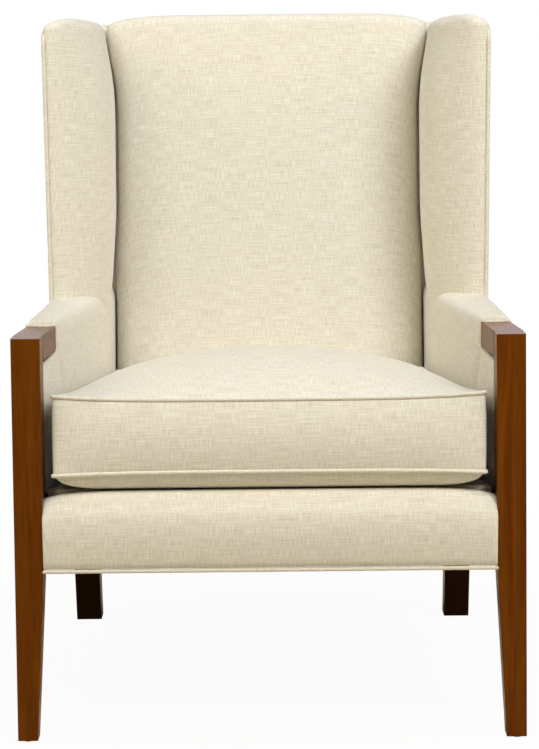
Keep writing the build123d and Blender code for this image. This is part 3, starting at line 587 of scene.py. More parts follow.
def teeth_tree():
    """A row of small teeth along a path of edges, tilted like the deck."""
    name = "Zip teeth"
    if name in bpy.data.node_groups:
        return bpy.data.node_groups[name]
    inputs = {"Path": "Geometry", "Pitch": "Float", "Metal": "Material"}
    tree, given, out = new_tree(name, "GeometryNodeTree", inputs, {"Teeth": "Geometry"})
    line = add(tree, "GeometryNodeMeshToCurve", {"Mesh": given["Path"]})
    values = {"Curve": line.outputs[0], "Length": given["Pitch"]}
    spots = add(tree, "GeometryNodeCurveToPoints", values, mode="LENGTH")
    values = {"Size": TOOTH_SIZE, "Vertices X": 3, "Vertices Y": 3, "Vertices Z": 4}
    tooth = add(tree, "GeometryNodeMeshCube", values)
    rounded = add(tree, "GeometryNodeSubdivisionSurface", {"Mesh": tooth.outputs[0], "Level": 1})
    turn = add(tree, "ShaderNodeCombineXYZ", {0: -SEAT_PITCH})
    values = {"Points": spots.outputs[0], "Instance": rounded.outputs[0], "Rotation": turn.outputs[0]}
    row = add(tree, "GeometryNodeInstanceOnPoints", values)
    return end_tree(tree, row.outputs[0], given["Metal"], out["Teeth"])


def path_mesh(points, closed=False):
    """Edges through a row of points, as a path for the node trees."""
    count = len(points)
    edges = [(k, (k + 1) % count) for k in range(count if closed else count - 1)]
    mesh = bpy.data.meshes.new("path")
    mesh.from_pydata([tuple(p) for p in points], edges, [])
    return mesh


def grown(tree, path, values):
    """The plain mesh that a node tree grows on a path."""
    host = bpy.data.objects.new("path", path)
    bpy.context.scene.collection.objects.link(host)
    nodes = host.modifiers.new("Grow", "NODES")
    nodes.node_group = tree
    for item in tree.interface.items_tree:
        if item.in_out == "INPUT" and item.name in values:
            nodes[item.identifier] = values[item.name]
    bpy.context.view_layer.update()
    evaluated = host.evaluated_get(bpy.context.evaluated_depsgraph_get())
    mesh = bpy.data.meshes.new_from_object(evaluated)
    bpy.data.objects.remove(host)
    return mesh


def welt(name, points, body, node, closed=False):
    """A welt along a row of points in metres."""
    values = {"Radius": bpy.context.scene.chair_sizes.welt_radius, "Cloth": linen()}
    mesh = grown(cord_tree(), path_mesh(points, closed), values)
    return settle(new_object(name, mesh, linen()), body, [node])


# Forms of the upholstery, in chair measures


def pad_rear(z):
    """Depth where the pads end in front of the back posts."""
    return post_face(z) - PAD_CLEAR


def wing_bulge(z):
    """Half the width between the wings where their faces swell most."""
    root = arm_face(WING_FRONT + 95.0) + 5.0 - 11.0 * ramp(z, ARM_TOP - WING_ROOT, ARM_TOP + 30)
    full = root + (WING_INNER - root) * ramp(z, ARM_TOP - 30, ARM_TOP + 150)
    return full + 17.0 * ramp(z, WING_TOP - 190, WING_TOP) ** 2


def wing_face(z):
    """Padded face of the right wing at a height, from its outer side round the front to the crease."""
    front, crease = wing_front(z), crease_depth(z)
    bulge, outer = wing_bulge(z), wing_side(z)
    keys = [
        (outer, front + 24), (outer, front + 7), (outer - 5, front - 0.5), (outer - 24, front + 3),
        (outer - 0.52 * (outer - bulge), front + 21), (bulge + 15, front + 57), (bulge + 1, front + 98),
        (bulge - 1, (front + 98 + crease) / 2),
        (bulge + 3, crease - 30), (bulge + 6, crease + 4), (bulge + 9, crease + 40),
    ]
    return smooth_line(keys, 64)


def wing_skin():
    """Right wing: rounded front edge, full inner face, top domed along a crest."""
    walls = np.linspace(ARM_TOP - WING_ROOT, WING_TOP - WING_DOME, 54)
    turns = np.radians([10, 20, 30, 40, 50, 60, 70, 79, 86])
    rings = []
    for z, turn in [(z, 0.0) for z in walls] + [(walls[-1], turn) for turn in turns]:
        face = wing_face(z)
        front, outer = wing_front(z), wing_side(z)
        over_post = CAP_STEP * ramp(z, CAP_LOW - 14, CAP_LOW - 8) + 2.0 * ramp(z, CAP_LOW - 1, CAP_LOW)
        rear = pad_rear(z) + over_post
        hidden = outer - 5.4 * (1 - ramp(z, WING_TOP - 34, WING_TOP - 27))
        behind = [face[-1], (wing_bulge(z) + 26, rear), (hidden, rear), (hidden, front + 40), face[0]]
        section = np.vstack([face, even_points(np.array(behind), 42)[1:-1]])
        crest_depth = np.clip(section[:, 1], front + 36, crease_depth(z) + 40)
        inner = np.interp(crest_depth, face[30:, 1], face[30:, 0])
        crest = np.column_stack([(inner + outer) / 2, crest_depth])
        section = section + (crest - section) * (1 - cos(turn))
        height = z + WING_DOME * sin(turn)
        rings.append(np.column_stack([section, np.full(len(section), height)]))
    return np.asarray(rings)


def back_plan(z):
    """Plan of the back at a height: places across, and how far they lie behind the crown."""
    spread = (BACK_EDGE[1] - BACK_EDGE[0]) * ramp(z, ARM_TOP + 30, WING_TOP - 60)
    edge = min(wing_bulge(z) - 1.0, BACK_EDGE[0] + spread)
    turn = np.radians(np.linspace(0, 86, 12))[1:]
    face = np.linspace(0, edge - BACK_ROLL, 26)
    hidden = np.linspace(edge + 12, SIDE - 6, 5)
    x = np.concatenate([face, face[-1] + BACK_ROLL * np.sin(turn), [edge + 1.5, edge + 4], hidden])
    rolled = BACK_ROLL * (1 - np.cos(turn))
    deep = np.concatenate([np.zeros(len(face)), rolled, [33, 39], np.full(len(hidden), CREASE_DEPTH)])
    shallow = 1 - 0.45 * ramp(z, BACK_TOP - 130, BACK_TOP - 25)
    fall = BACK_CROWN * np.minimum(x / WING_CREASE, 1.15) ** 3 + deep * shallow
    return np.concatenate([-x[:0:-1], x]), np.concatenate([fall[:0:-1], fall])


def back_skin():
    """Back: crowned, reclined, drawn into the creases beside the wings, rolled over its top to a cap."""
    low = deck_height(BACK_FRONT) + 2.0
    crest = BACK_TOP + 3.0
    heights = np.linspace(low, BACK_TOP - 15.0, 40)
    plans = [back_plan(z) for z in heights]
    rings = []
    for k, end in enumerate(plans[-1][0]):
        top = crest - 15.0 * min(abs(end) / WING_CREASE, 1.0) ** 8
        lift = (heights - low) * (1 - (crest - top) / (heights[-1] - low)) + low
        face = [(x[k], back_face(z) + fall[k], z) for (x, fall), z in zip(plans, lift)]
        start = face[-1][1]
        roll = [
            (start + 3, top - 7), (start + 10, top - 1.5), (start + 22, top), (REAR - 26, top),
            (REAR - 7, top - 3), (REAR - 1, top - 9), (REAR - 1, CAP_LOW + 1), (REAR - 4, CAP_LOW - 4),
        ]
        line = smooth_line(face + [(end, *spot) for spot in roll], 110)
        behind = [(end, pad_rear(z), z) for z in np.linspace(CAP_LOW - 4, low, 14)]
        rings.append(np.vstack([line, behind]))
    return np.asarray(rings)


def arm_fold(depth, z):
    """Soft fold that the cloth drags down from the stub's end, with a fuller place in front of it."""
    line = z - FOLD_TOP + FOLD_SLOPE * (depth - STUB_END)
    hollow = 8.0 * np.exp(-((line / 16) ** 2) - ((depth - FOLD_DEPTH) / 24) ** 2)
    swell = 5.0 * np.exp(-(((depth - FOLD_SWELL[0]) / 36) ** 2) - ((z - FOLD_SWELL[1]) / 24) ** 2)
    return hollow - swell


def arm_skin(pulled):
    """Right arm: rolled top, straight inside, front edge stepped round the bare wood and tucked in low."""
    low = deck_height(POST_SIDE) - 14.0
    heights = np.linspace(low, ARM_TOP - 22.0, 46)
    tucked = 1 - ramp(heights, *ARM_TUCK)
    beside_stub = ramp(heights, ARM_RAIL_LOW - 6, ARM_RAIL_LOW + 1)
    starts = POST_SIDE + 1.0 + (STUB_END - POST_SIDE - 1.0) * beside_stub + 16.0 * tucked
    ends = post_back(heights - 40.0) - 3.0
    rim = [0, 0.0004, 0.002, 0.005]
    rings = []
    for share in np.concatenate([rim, np.linspace(0.012, 1, 74)]):
        roll = np.interp(share, rim, [5.5, 2.6, 0.8, 0])
        depth = starts + (ends - starts) * share
        x = arm_face(depth) + roll + 9.0 * tucked * np.exp(-share * 5) + pulled * arm_fold(depth, heights)
        fall = (deck_height(POST_SIDE) - deck_height(depth)) * (1 - (heights - low) / (ARM_TOP - low))
        keys = list(np.column_stack([x, depth, heights - fall]))
        depth = STUB_END + (post_back(ARM_RAIL_LOW) + 2.5 - STUB_END) * share
        inner, outer, top = arm_face(depth) + roll, side_x(depth) - roll, ARM_TOP - roll
        near = np.exp(-share * 8)
        over = [
            (inner + 3 - 2 * near, top - 12 + 5 * near), (inner + 10 - 6 * near, top - 4 + 2.5 * near),
            (inner + 22 - 9 * near, top), ((inner + outer) / 2 + 4, top + 0.5), (outer - 13, top - 0.5),
            (outer - 4, top - 4), (outer - 0.5, top - 12), (outer, top - 26), (outer, ARM_RAIL_LOW + 1),
        ]
        line = smooth_line(keys + [(across, depth, z) for across, z in over], 96)
        rings.append(np.vstack([line, np.linspace(line[-1], line[0], 14)[1:-1]]))
    return np.asarray(rings)


def cover_skin():
    """Front cover: swelling face, rolled top whose ends fall, ends turned in beside the posts."""
    half = POST_INNER + 4.0
    rim = np.array([0.98, 0.99, 0.9955, 0.9985, 1])
    rings = []
    for share in np.concatenate([-rim[:0:-1], np.linspace(-rim[0], rim[0], 67), rim[1:]]):
        away = abs(share)
        edge = np.interp(away, rim, [0, 0.4, 1.2, 2.6, 6.0])
        swell = COVER_SWELL - 3.0 * away**4 - edge
        top = deck_height(36.0) - 0.6 - 11.0 * away**10 - edge
        keys = [
            (2.0, RAIL_LOW), (-0.45 * swell, RAIL_LOW + 12), (-swell, (RAIL_LOW + top) / 2 - 6),
            (-0.75 * swell, top - 32), (1.5, top - 15), (9, top - 4), (20, top), (35, top - 0.5),
        ]
        under = np.linspace((35, top - 12), (11.5, RAIL_LOW), 10)
        section = np.vstack([smooth_line(keys, 44), under])
        rings.append(np.column_stack([np.full(len(section), share * half), section]))
    return np.asarray(rings)


def deck_skin():
    """Seat deck under the cushion."""
    across = np.linspace(-1, 1, 31)
    edge = 1.5 * np.abs(across) ** 12
    rings = []
    for depth in np.linspace(39, REAR_LEG - 3, 30):
        half = arm_face(depth) - 1.0
        top = np.column_stack([across * half, np.full(len(across), depth), deck_height(depth) - 0.2 - edge])
        under = top[::-1].copy()
        under[:, 2] = deck_height(depth) - DECK_THICK
        rings.append(np.vstack([top, under]))
    return np.asarray(rings)


def board_skin(rows):
    """Cloth over a board, a little full and turned in at its edges: rows of (start, end, inward, level)."""
    t = np.linspace(0, 1, 41)
    rings = []
    for row in rows:
        start, end, inward = (np.asarray(p, float) for p in row[:3])
        level = row[3]
        edge = np.minimum(t, 1 - t) * np.linalg.norm(end - start)
        turned = 2.6 * np.exp(-edge / 2.2) + 2.6 * (1 - level)
        full = 0.9 * np.sin(pi * t) ** 0.6 * level
        face = start + (end - start) * t[:, None] + inward * (turned - full)[:, None]
        under = np.linspace(end, start, 9) + inward * 4.6
        rings.append(np.vstack([face, under]))
    return np.asarray(rings)


def board_levels(count):
    """Shares up a board, close together at its ends, each with the cloth's rise from its turned edge."""
    rim = np.array([0, 0.004, 0.011, 0.022])
    t = np.concatenate([rim, np.linspace(0.045, 0.955, count), 1 - rim[::-1]])
    return list(zip(t, 1 - np.exp(-np.minimum(t, 1 - t) / 0.0055)))


# The cushion, in the plane of the deck


CUSHION_LENGTH = 528.0
CUSHION_CLEAR = 10.0
CUSHION_TOP_WELT = 132.0
CUSHION_LOW_WELT = 27.5
CUSHION_FRONT = POST_INNER - CUSHION_CLEAR
CUSHION_REAR = arm_face(CUSHION_LENGTH) - CUSHION_CLEAR
CUSHION_GRID = (79, 67)
ZIP_MIDDLE = 81.0
ZIP_HALF_TAPE = 13.0


def cushion_place(u, v):
    """Plan of the cushion: drawn-in sides and slightly rounded corners."""
    half = CUSHION_FRONT + (CUSHION_REAR - CUSHION_FRONT) * v - 6.0 * 4 * v * (1 - v)
    w = 2 * v - 1
    rounded = 1 - 0.010 * (np.abs(u) * np.abs(w)) ** 14
    bowed = 2.5 * (1 - v) * (1 - u**2) * (np.abs(w) ** 8)
    return u * half * rounded, CUSHION_LENGTH * (0.5 + 0.5 * w * rounded) + bowed


def cushion_edge(u, v, upper):
    """Height of the welts: the boxing is taller at the corners, where it makes ears."""
    corner = (np.abs(u) * np.abs(2 * v - 1)) ** 4
    return CUSHION_TOP_WELT + 7.0 * corner if upper else CUSHION_LOW_WELT - 4.0 * corner


def cushion_border():
    """Shares (u, v) once round the cushion."""
    across, back = CUSHION_GRID
    a = np.linspace(-1, 1, across)
    b = np.linspace(0, 1, back)
    u = np.concatenate([a[:-1], np.ones(back - 1), a[::-1][:-1], -np.ones(back - 1)])
    v = np.concatenate([np.zeros(across - 1), b[:-1], np.ones(across - 1), b[::-1][:-1]])
    return u, v


def cushion_grids():
    """Grids of the cushion's top, boxing and underside, each with the points that its seams hold."""
    across, back = CUSHION_GRID
    u, v = np.meshgrid(np.linspace(-1, 1, across), np.linspace(0, 1, back))
    w = 2 * v - 1
    x, y = cushion_place(u, v)
    rim = np.maximum(np.abs(u), np.abs(w)) > 0.999
    rise = bpy.context.scene.chair_sizes.cushion_crown / MM
    crown = rise * (1 - u**2) ** 0.72 * (1 - np.abs(w) ** 2.6)
    upper = np.stack([x, y, cushion_edge(u, v, True) + crown], -1)
    inside = np.minimum((1 - np.abs(u)) * CUSHION_FRONT / 80, (1 - np.abs(w)) * CUSHION_LENGTH / 2 / 48)
    outside = 1 - np.clip(inside, 0, 1)
    low = cushion_edge(u, v, False)
    belly = np.maximum(low * (1 - np.sqrt(1 - outside**2)), 0.6)
    lower = np.stack([x, y, np.where(rim, low, belly)], -1)
    u, v = (np.append(shares, shares[0]) for shares in cushion_border())
    x, y = cushion_place(u, v)
    share = np.linspace(0, 1, 15)[:, None]
    low, high = cushion_edge(u, v, False), cushion_edge(u, v, True)
    heights = low + (high - low) * share
    full = np.sin(pi * share) ** 0.8
    front = np.where(v < 0.001, 9.0 * (1 - np.abs(u) ** 8), 0.0) * full
    flank = np.where(np.abs(u) > 0.999, 3.5 * np.sign(u) * (1 - np.abs(2 * v - 1) ** 8), 0.0) * full
    boxing = np.stack([x + flank, y - front, heights], -1)
    sewn = np.zeros(heights.shape)
    sewn[0] = sewn[-1] = 1
    sewn[:, v > 0.999] = 1
    pieces = ((upper, rim), (boxing, sewn), (lower, np.maximum(rim, inside > 0.95)))
    return [(place(on_deck(points)), pinned.astype(float)) for points, pinned in pieces]


# Sizes and colours that a user would change


def length_property(name, description, default):
    return FloatProperty(name=name, description=description, default=default, precision=5, unit="LENGTH")


def power_property(name, description, default):
    return FloatProperty(name=name, description=description, default=default, unit="POWER")


def colour_property(name, description, default):
    return FloatVectorProperty(
        name=name, description=description, default=default, subtype="COLOR", min=0, max=1, precision=4)


class ChairSizes(bpy.types.PropertyGroup):
    """Sizes of the upholstery's details."""

    welt_radius: length_property("Welt radius", "Half the thickness of the welts", 0.003)
    thread_pitch: length_property("Thread pitch", "From one thread of the linen to the next", 0.0011)
    slub_length: length_property("Slub length", "Length of the thick places in the yarn", 0.018)
    cushion_crown: length_property("Cushion crown", "Rise of the cushion's top before it is filled", 0.060)
    filling: FloatProperty(
        name="Filling", description="Pressure of the filling on the cushion's cloth", default=4.0)
    tooth_pitch: length_property("Zip tooth pitch", "From one tooth of the zip to the next", 0.0026)


class ChairColours(bpy.types.PropertyGroup):
    """Colours of the cloth and the wood."""

    linen: colour_property("Linen", "Main colour of the linen", (0.91, 0.865, 0.755))
    slub: colour_property("Slub", "Colour of its darker yarns", (0.60, 0.535, 0.405))
    show_wood: colour_property("Show wood", "Lighter grain of the posts and arms", (0.178, 0.050, 0.003))
    show_wood_dark: colour_property(
        "Show wood, dark", "Darker grain of the posts and arms", (0.089, 0.0202, 0.0008))
    rear_wood: colour_property("Rear legs", "Stain of the rear legs", (0.014, 0.0045, 0.001))
    frame_wood: colour_property("Frame wood", "Bare wood inside the upholstery", (0.50, 0.33, 0.17))
    dust_cloth: colour_property("Dust cover", "Cambric under the seat", (0.012, 0.012, 0.013))


class StageSettings(bpy.types.PropertyGroup):
    """Light and camera of the studio."""

    key: power_property("Key light", "Power of the upper right light", 212.0)
    fill: power_property("Fill light", "Power of the upper left light", 106.0)
    right: power_property("Right side light", "Power of the light at the right side", 17.0)
    left: power_property("Left side light", "Power of the light at the left side", 24.0)
    top: power_property("Top light", "Power of the light over the chair", 18.0)
    rear: power_property("Rear light", "Power of the light behind the chair", 16.0)
    room: FloatProperty(name="Room light", description="Light that comes from all around", default=0.03)
    lens: FloatProperty(
        name="Lens", description="Focal length over a frame 24 mm high", default=65.24, unit="CAMERA")


# Stage


CAMERA_SPOT = (0.01305, FRONT_Y - 2.8708, 0.9988)
CAMERA_TURNS = (0.004, 0.157, -0.011)
FLOOR_SIZE = 40
LIGHT_AIM = (0, 0, 0.55)
LIGHTS = (
    ("key", (0.94, 0.95, 1.0), (2.1, 2.1), (2.38, -3.25, 4.55)),
    ("fill", (1.0, 0.96, 0.82), (2.1, 2.1), (-2.38, -3.25, 4.55)),
    ("right", (1.0, 0.86, 0.5), (1.4, 1.4), (2.6, -0.9, 2.3)),
    ("left", (1.0, 0.9, 0.7), (1.4, 1.4), (-2.6, -0.9, 2.3)),
    ("top", (0.5, 0.68, 1.0), (2.0, 1.6), (0.0, -0.3, 3.2)),
    ("rear", (1.0, 0.98, 0.94), (2.0, 1.2), (0.6, 3.0, 1.3)),
)


def camera_matrix(spot, yaw, pitch, roll):
    """Place and turn of a camera that looks along the depth before its turns, in radians."""
    matrix = Matrix.Translation(spot)
    for angle, axis in ((yaw, "Z"), (pi / 2 - pitch, "X"), (roll, "Z")):
        matrix = matrix @ Matrix.Rotation(angle, 4, axis)
    return matrix


def aimed(spot, aim):
    """Place and turn of a light that shines at an aim."""
    back = Vector(spot) - Vector(aim)
    return Matrix.Translation(spot) @ back.to_track_quat("Z", "Y").to_matrix().to_4x4()


def floor_paint():
    """Pale floor that shows white to the camera but for a faint shadow."""
    made, tree, shader = new_material("Floor")
    feed(tree, shader, {"Base Color": (0.66, 0.60, 0.46, 1), "Roughness": 0.8})
    path = add(tree, "ShaderNodeLightPath")
    white = add(tree, "ShaderNodeEmission", {"Color": (1, 1, 1, 1), "Strength": 1.0})
    spot = add(tree, "ShaderNodeTexCoord")
    away = add(tree, "ShaderNodeVectorMath", {0: spot.outputs["Object"]}, operation="LENGTH")
    fade = remap(tree, away.outputs["Value"], 0.35, 1.3, 0.95, 1.0)
    share = maths(tree, "MULTIPLY", path.outputs["Is Camera Ray"], fade)
    both = add(tree, "ShaderNodeMixShader", {0: share, 1: shader.outputs[0], 2: white.outputs[0]})
    tree.links.new(both.outputs[0], tree.nodes["Material Output"].inputs["Surface"])
    return made


def room_light(world, strength):
    """White to the camera; a white backdrop behind the chair and a dim room in front for gloss."""
    world.use_nodes = True
    tree = world.node_tree
    tree.nodes.clear()
    path = add(tree, "ShaderNodeLightPath").outputs
    spot = add(tree, "ShaderNodeTexCoord")
    split = add(tree, "ShaderNodeSeparateXYZ", {0: spot.outputs["Generated"]})
    behind = remap(tree, split.outputs[1], -0.2, 0.3, 0.02, 0.95)
    glossy = add(tree, "ShaderNodeMix", {"Factor": path["Is Glossy Ray"], 2: strength, 3: behind})
    seen = maths(tree, "MAXIMUM", path["Is Camera Ray"], path["Is Transmission Ray"])
    level = add(tree, "ShaderNodeMix", {"Factor": seen, 2: glossy.outputs[0], 3: 1.0})
    tint = blend(tree, maths(tree, "MAXIMUM", seen, path["Is Glossy Ray"]), (1, 0.92, 0.74), (1, 1, 1))
    light = add(tree, "ShaderNodeBackground", {"Color": tint, "Strength": level.outputs[0]})
    add(tree, "ShaderNodeOutputWorld", {"Surface": light.outputs[0]})


class CHAIR_OT_stage(bpy.types.Operator):
    """Camera, floor and soft studio light"""

    bl_idname = "chair.stage"
    bl_label = "Stage"

    def execute(self, context):
        scene = context.scene
        stage = scene.chair_stage
        scene.view_settings.view_transform = "Standard"
        lens = bpy.data.cameras.new("Camera")
        lens.sensor_fit = "VERTICAL"
        lens.sensor_height = 24.0
        lens.lens = stage.lens
        camera = bpy.data.objects.new("Camera", lens)
        scene.collection.objects.link(camera)
        camera.matrix_world = camera_matrix(CAMERA_SPOT, *CAMERA_TURNS)
        scene.camera = camera
        bpy.ops.mesh.primitive_plane_add(size=FLOOR_SIZE)
        floor = context.object
        floor.name = "floor"
        floor.data.materials.append(floor_paint())
        scene.world = bpy.data.worlds.new("Room")
        room_light(scene.world, stage.room)
        for name, colour, size, spot in LIGHTS:
            lamp = bpy.data.lights.new(name, "AREA")
            lamp.shape = "RECTANGLE"
            lamp.size, lamp.size_y = size
            lamp.energy = getattr(stage, name)
            lamp.color = colour
            holder = bpy.data.objects.new(name, lamp)
            scene.collection.objects.link(holder)
            holder.matrix_world = aimed(spot, LIGHT_AIM)
            holder.visible_glossy = False
            holder.visible_camera = False
        return {"FINISHED"}


# Pieces


JUTE = ((0.45, 0.34, 0.2), (0.3, 0.22, 0.12))
ZINC = ((0.62, 0.62, 0.62), (0.45, 0.45, 0.46))
NYLON = ((0.05, 0.04, 0.035), (0.03, 0.024, 0.02))
NICKEL = ((0.66, 0.63, 0.58), (0.5, 0.48, 0.44))
ZIP_TAPE = ((0.66, 0.6, 0.46), (0.5, 0.44, 0.32))
FRAME_WOOD = (
    "front_seat_rail", "back_seat_rail", "side_seat_rail", "arm_tack_rail", "wing_stile", "wing_top_rail",
    "back_bottom_rail", "back_top_rail", "corner_blocks", "frame_dowels",
)


def darker(colour, share=0.6):
    """A colour at a share of its strength."""
    return [part * share for part in colour]


class CHAIR_OT_wood(bpy.types.Operator):
    """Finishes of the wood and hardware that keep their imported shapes"""

    bl_idname = "chair.wood"
    bl_label = "Wood and hardware"

    def execute(self, context):
        colours = context.scene.chair_colours
        show = (colours.show_wood, colours.show_wood_dark)
        upright = wood("Show wood, upright", *show)
        level = wood("Show wood, level", *show, turn=(radians(90), 0, 0))
        stained = wood("Rear leg wood", darker(colours.rear_wood, 1.6), colours.rear_wood)
        bare = wood("Frame wood", colours.frame_wood, darker(colours.frame_wood), rough=0.7, coat=0.0)
        strap = cloth("Jute strap", *JUTE, pitch=0.002, turn=(radians(45), 0, 0))
        steel = speckled("Zinc screw", *ZINC, metallic=1.0, rough=0.35)
        nylon = speckled("Nylon glide", *NYLON, metallic=0.0, rough=0.55)
        nickel = speckled("Zip metal", *NICKEL, metallic=1.0, rough=0.32)
        for finish, starts in (
            (upright, "front_leg"),
            (level, "arm_rail"),
            (stained, "rear_leg"),
            (bare, FRAME_WOOD),
            (strap, ("seat_webbing", "back_webbing")),
            (steel, "corner_block_screws"),
            (nylon, "foot_glides"),
            (nickel, ("zip_slider", "zip_pull")),
        ):
            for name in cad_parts:
                if name.startswith(starts):
                    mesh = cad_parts[name].data
                    mesh.materials.clear()
                    mesh.materials.append(finish)
        return {"FINISHED"}


class CHAIR_OT_cushion(bpy.types.Operator):
    """Loose boxed cushion, swollen by its filling between its seams, with its two welts"""

    bl_idname = "chair.cushion"
    bl_label = "Seat cushion"

    def execute(self, context):
        obj = new_object("cushion", cloth_mesh("cushion", cushion_grids()), linen())
        pull(obj, context.scene.chair_sizes.filling)
        refine(obj)
        nodes = ["seat_cushion_cover", "seat_cushion_core"]
        settle(obj, "seat_cushion", nodes)
        u, v = cushion_border()
        for name, upper in (("top", True), ("bottom", False)):
            points = on_deck(np.column_stack([*cushion_place(u, v), cushion_edge(u, v, upper)]))
            node = f"seat_cushion_welt_{name}"
            welt(f"cushion_welt_{name}", place(points), "seat_cushion", node, closed=True)
        return {"FINISHED"}


class CHAIR_OT_back(bpy.types.Operator):
    """Padded inside back with its rolled top"""

    bl_idname = "chair.back"
    bl_label = "Inside back"

    def execute(self, context):
        upholster("back", back_skin(), "inside_back_pad", upright=True)
        return {"FINISHED"}


class CHAIR_OT_wings(bpy.types.Operator):
    """Padded wings and the welts along their edges"""

    bl_idname = "chair.wings"
    bl_label = "Wings"

    def execute(self, context):
        low, high = ARM_TOP - PANEL_LAP, WING_TOP - 22.0
        side, front = wing_side(high) - 1.0, wing_front(high)
        keys = [(wing_side(z) - 1.0, wing_front(z) - 0.5, z) for z in np.linspace(low, high - 16, 30)]
        keys += [(side, front + 5, high - 5), (side, front + 18, high)]
        keys += [(side, depth, high) for depth in np.linspace(front + 45, pad_rear(high), 14)]
        line = smooth_line(keys, 160)
        skin = wing_skin()
        for name, sign in SIDES:
            upholster(f"wing_{name}", skin, f"wing_pad_{name}", sign=sign)
            welt(f"wing_edge_{name}", place(line * (sign, 1, 1)), "frame", f"wing_welt_{name}")
        return {"FINISHED"}


class CHAIR_OT_arms(bpy.types.Operator):
    """Padded arms, stepped round the bare wood; their cloth is dragged into a fold, more on the right"""

    bl_idname = "chair.arms"
    bl_label = "Arms"

    def execute(self, context):
        for (name, sign), pulled in zip(SIDES, (1.0, 0.4)):
            skin = arm_skin(pulled)
            upholster(f"arm_{name}", skin, f"arm_pad_{name}", sign=sign, upright=True)
        return {"FINISHED"}


class CHAIR_OT_seat_front(bpy.types.Operator):
    """Padded front below the cushion, the deck behind it and the welts along the lower edge"""

    bl_idname = "chair.seat_front"
    bl_label = "Seat front and deck"

    def execute(self, context):
        upholster("seat_front", cover_skin(), "front_rail_cover", upright=True)
        upholster("deck", deck_skin(), "seat_deck", fine=False)
        radius = context.scene.chair_sizes.welt_radius
        for node in ("front_rail_welt", "back_rail_welt", "side_rail_welt_left", "side_rail_welt_right"):
            low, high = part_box(node)
            y, z = (low.y + high.y) / 2, (low.z + high.z) / 2
            ends = [(low.x, y, z), (high.x, y, z)]
            if node.endswith("right"):
                ends = [(high.x - radius, low.y, z), (low.x + radius, high.y, z)]
            if node.endswith("left"):
                ends = [(low.x + radius, low.y, z), (high.x - radius, high.y, z)]
            welt(node.replace("_rail_welt", "_edge"), np.linspace(*ends, 60), "frame", node)
        return {"FINISHED"}


class CHAIR_OT_outside(bpy.types.Operator):
    """Covered panels of the outside back, arms and wings"""

    bl_idname = "chair.outside"
    bl_label = "Outside panels"

    def execute(self, context):
        rows = []
        for t, level in board_levels(40):
            z = RAIL_LOW + (CAP_LOW - RAIL_LOW) * t
            depth = post_back(z) + 5.0
            rows.append(((-SIDE, depth, z), (SIDE, depth, z), (0, -1, 0), level))
        upholster("outside_back", board_skin(rows), "outside_back_panel", fine=False)
        low, high = ARM_TOP - PANEL_LAP, WING_TOP - 25.0
        arm_rows, wing_rows = [], []
        for t, level in board_levels(26):
            z = RAIL_LOW + (ARM_RAIL_LOW - RAIL_LOW) * t
            start, end = (HALF_WIDTH - 1, POST_SIDE + 0.5, z), (SIDE, post_back(z) + 2.5, z)
            arm_rows.append((start, end, (-1, 0, 0), level))
            z = low + (high - low) * t
            start, end = (wing_side(z), wing_front(z) + 3.0, z), (wing_side(z), post_back(z) + 2.5, z)
            wing_rows.append((start, end, (-1, 0, 0), level))
        for kind, rows in (("arm", arm_rows), ("wing", wing_rows)):
            for name, sign in SIDES:
                node = f"outside_{kind}_panel_{name}"
                upholster(f"outside_{kind}_{name}", board_skin(rows), node, sign=sign, fine=False)
        return {"FINISHED"}


class CHAIR_OT_zip(bpy.types.Operator):
    """Zip in the cushion's back boxing: sewn tape and a row of teeth"""

    bl_idname = "chair.zip"
    bl_label = "Zip"

    def execute(self, context):
        low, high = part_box("cushion_zip")
        half = (high.x - low.x) / 2 / MM
        heights = ZIP_MIDDLE + np.linspace(-ZIP_HALF_TAPE, ZIP_HALF_TAPE, 14)
        rings = []
        for x in np.linspace(-half, half, 87):
            outer = np.array([(x, CUSHION_LENGTH + 0.8, z) for z in heights])
            inner = outer[::-1] - (0, 0.7, 0)
            rings.append(on_deck(np.vstack([outer, inner])))
        tape = cloth("Zip tape", *ZIP_TAPE, pitch=0.0008, bump=0.5)
        obj = new_object("zip_tape", cloth_mesh("zip_tape", ring_grids(place(rings))), tape)
        settle(obj, "seat_cushion", ["cushion_zip"])
        across = np.linspace(-half + 1, half - 1, 40)
        line = on_deck([(x, CUSHION_LENGTH + 1.6, ZIP_MIDDLE) for x in across])
        metal = bpy.data.materials["Zip metal"]
        values = {"Pitch": context.scene.chair_sizes.tooth_pitch, "Metal": metal}
        mesh = grown(teeth_tree(), path_mesh(place(line)), values)
        settle(new_object("zip_teeth", mesh, metal), "seat_cushion")
        return {"FINISHED"}


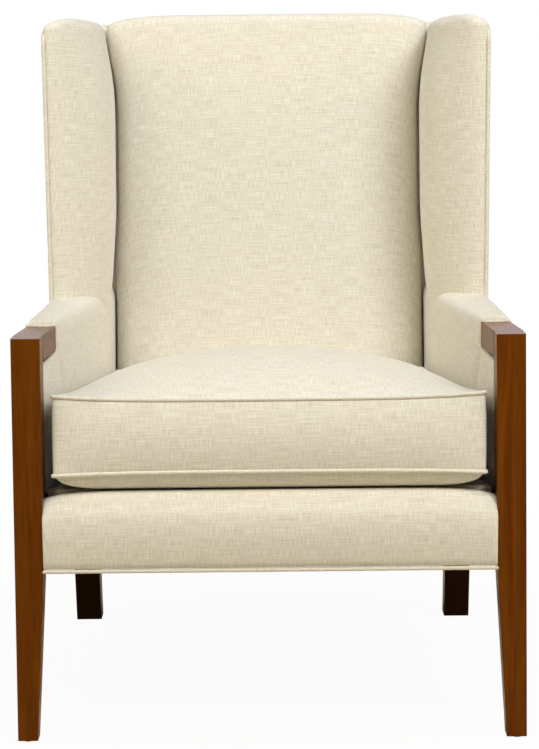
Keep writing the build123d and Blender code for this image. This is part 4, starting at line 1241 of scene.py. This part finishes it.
class CHAIR_OT_underside(bpy.types.Operator):
    """Dust cover stretched under the seat and cut out round the legs"""

    bl_idname = "chair.underside"
    bl_label = "Dust cover"

    def execute(self, context):
        low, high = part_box("dust_cover")
        ends = depth_of(low.y), depth_of(high.y)
        depth, share = np.meshgrid(np.linspace(*ends, 63), np.linspace(-1, 1, 73), indexing="ij")
        along = 2 * (depth - ends[0]) / (ends[1] - ends[0]) - 1
        sag = DUST_SAG * (1 - share**2) * (1 - along**2)
        half = side_x(depth) - DUST_INSET
        cover = np.stack([share * half, depth, RAIL_LOW - 0.5 - sag], -1)
        mesh = cloth_mesh("dust_cover", [(place(cover), 1.0)])
        legs = [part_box(f"{end}_leg_{side}") for end in ("front", "rear") for side in ("left", "right")]
        clear = LEG_CLEAR * MM
        bm = bmesh.new()
        bm.from_mesh(mesh)
        cut = set()
        for face in bm.faces:
            spot = face.calc_center_median()
            for a, b in legs:
                if a.x - clear < spot.x < b.x + clear and a.y < spot.y < b.y:
                    cut.add(face)
        bmesh.ops.delete(bm, geom=list(cut), context="FACES")
        for face in bm.faces:
            if face.normal.z > 0:
                face.normal_flip()
        area = sum(face.calc_area() for face in bm.faces)
        bm.to_mesh(mesh)
        bm.free()
        dark = context.scene.chair_colours.dust_cloth
        cambric = cloth("Cambric", dark, darker(dark), pitch=0.0007, sheen=0.05)
        obj = new_object("dust_cover_cloth", mesh, cambric)
        settle(obj, "frame", ["dust_cover"])
        return {"FINISHED"}


# Panel and run


GROUPS = {"chair_sizes": ChairSizes, "chair_colours": ChairColours, "chair_stage": StageSettings}
STEPS = (
    CHAIR_OT_stage, CHAIR_OT_wood, CHAIR_OT_cushion, CHAIR_OT_back, CHAIR_OT_wings, CHAIR_OT_arms,
    CHAIR_OT_seat_front, CHAIR_OT_outside, CHAIR_OT_zip, CHAIR_OT_underside,
)


class CHAIR_PT_panel(bpy.types.Panel):
    """Sizes, colours and steps of the chair"""

    bl_idname = "CHAIR_PT_panel"
    bl_label = "Wing chair"
    bl_space_type = "VIEW_3D"
    bl_region_type = "UI"
    bl_category = "Chair"

    def draw(self, context):
        for pointer, kind in GROUPS.items():
            box = self.layout.box()
            for name in kind.__annotations__:
                box.prop(getattr(context.scene, pointer), name)
        for step in STEPS:
            self.layout.operator(step.bl_idname)


CLASSES = (*GROUPS.values(), *STEPS, CHAIR_PT_panel)


def register():
    for each in CLASSES:
        bpy.utils.register_class(each)
    for pointer, kind in GROUPS.items():
        setattr(bpy.types.Scene, pointer, PointerProperty(type=kind))


def unregister():
    for pointer in GROUPS:
        delattr(bpy.types.Scene, pointer)
    for each in reversed(CLASSES):
        bpy.utils.unregister_class(each)


def main():
    register()
    for step in STEPS:
        kind, name = step.bl_idname.split(".")
        getattr(getattr(bpy.ops, kind), name)()


if __name__ == "__main__":
    main()
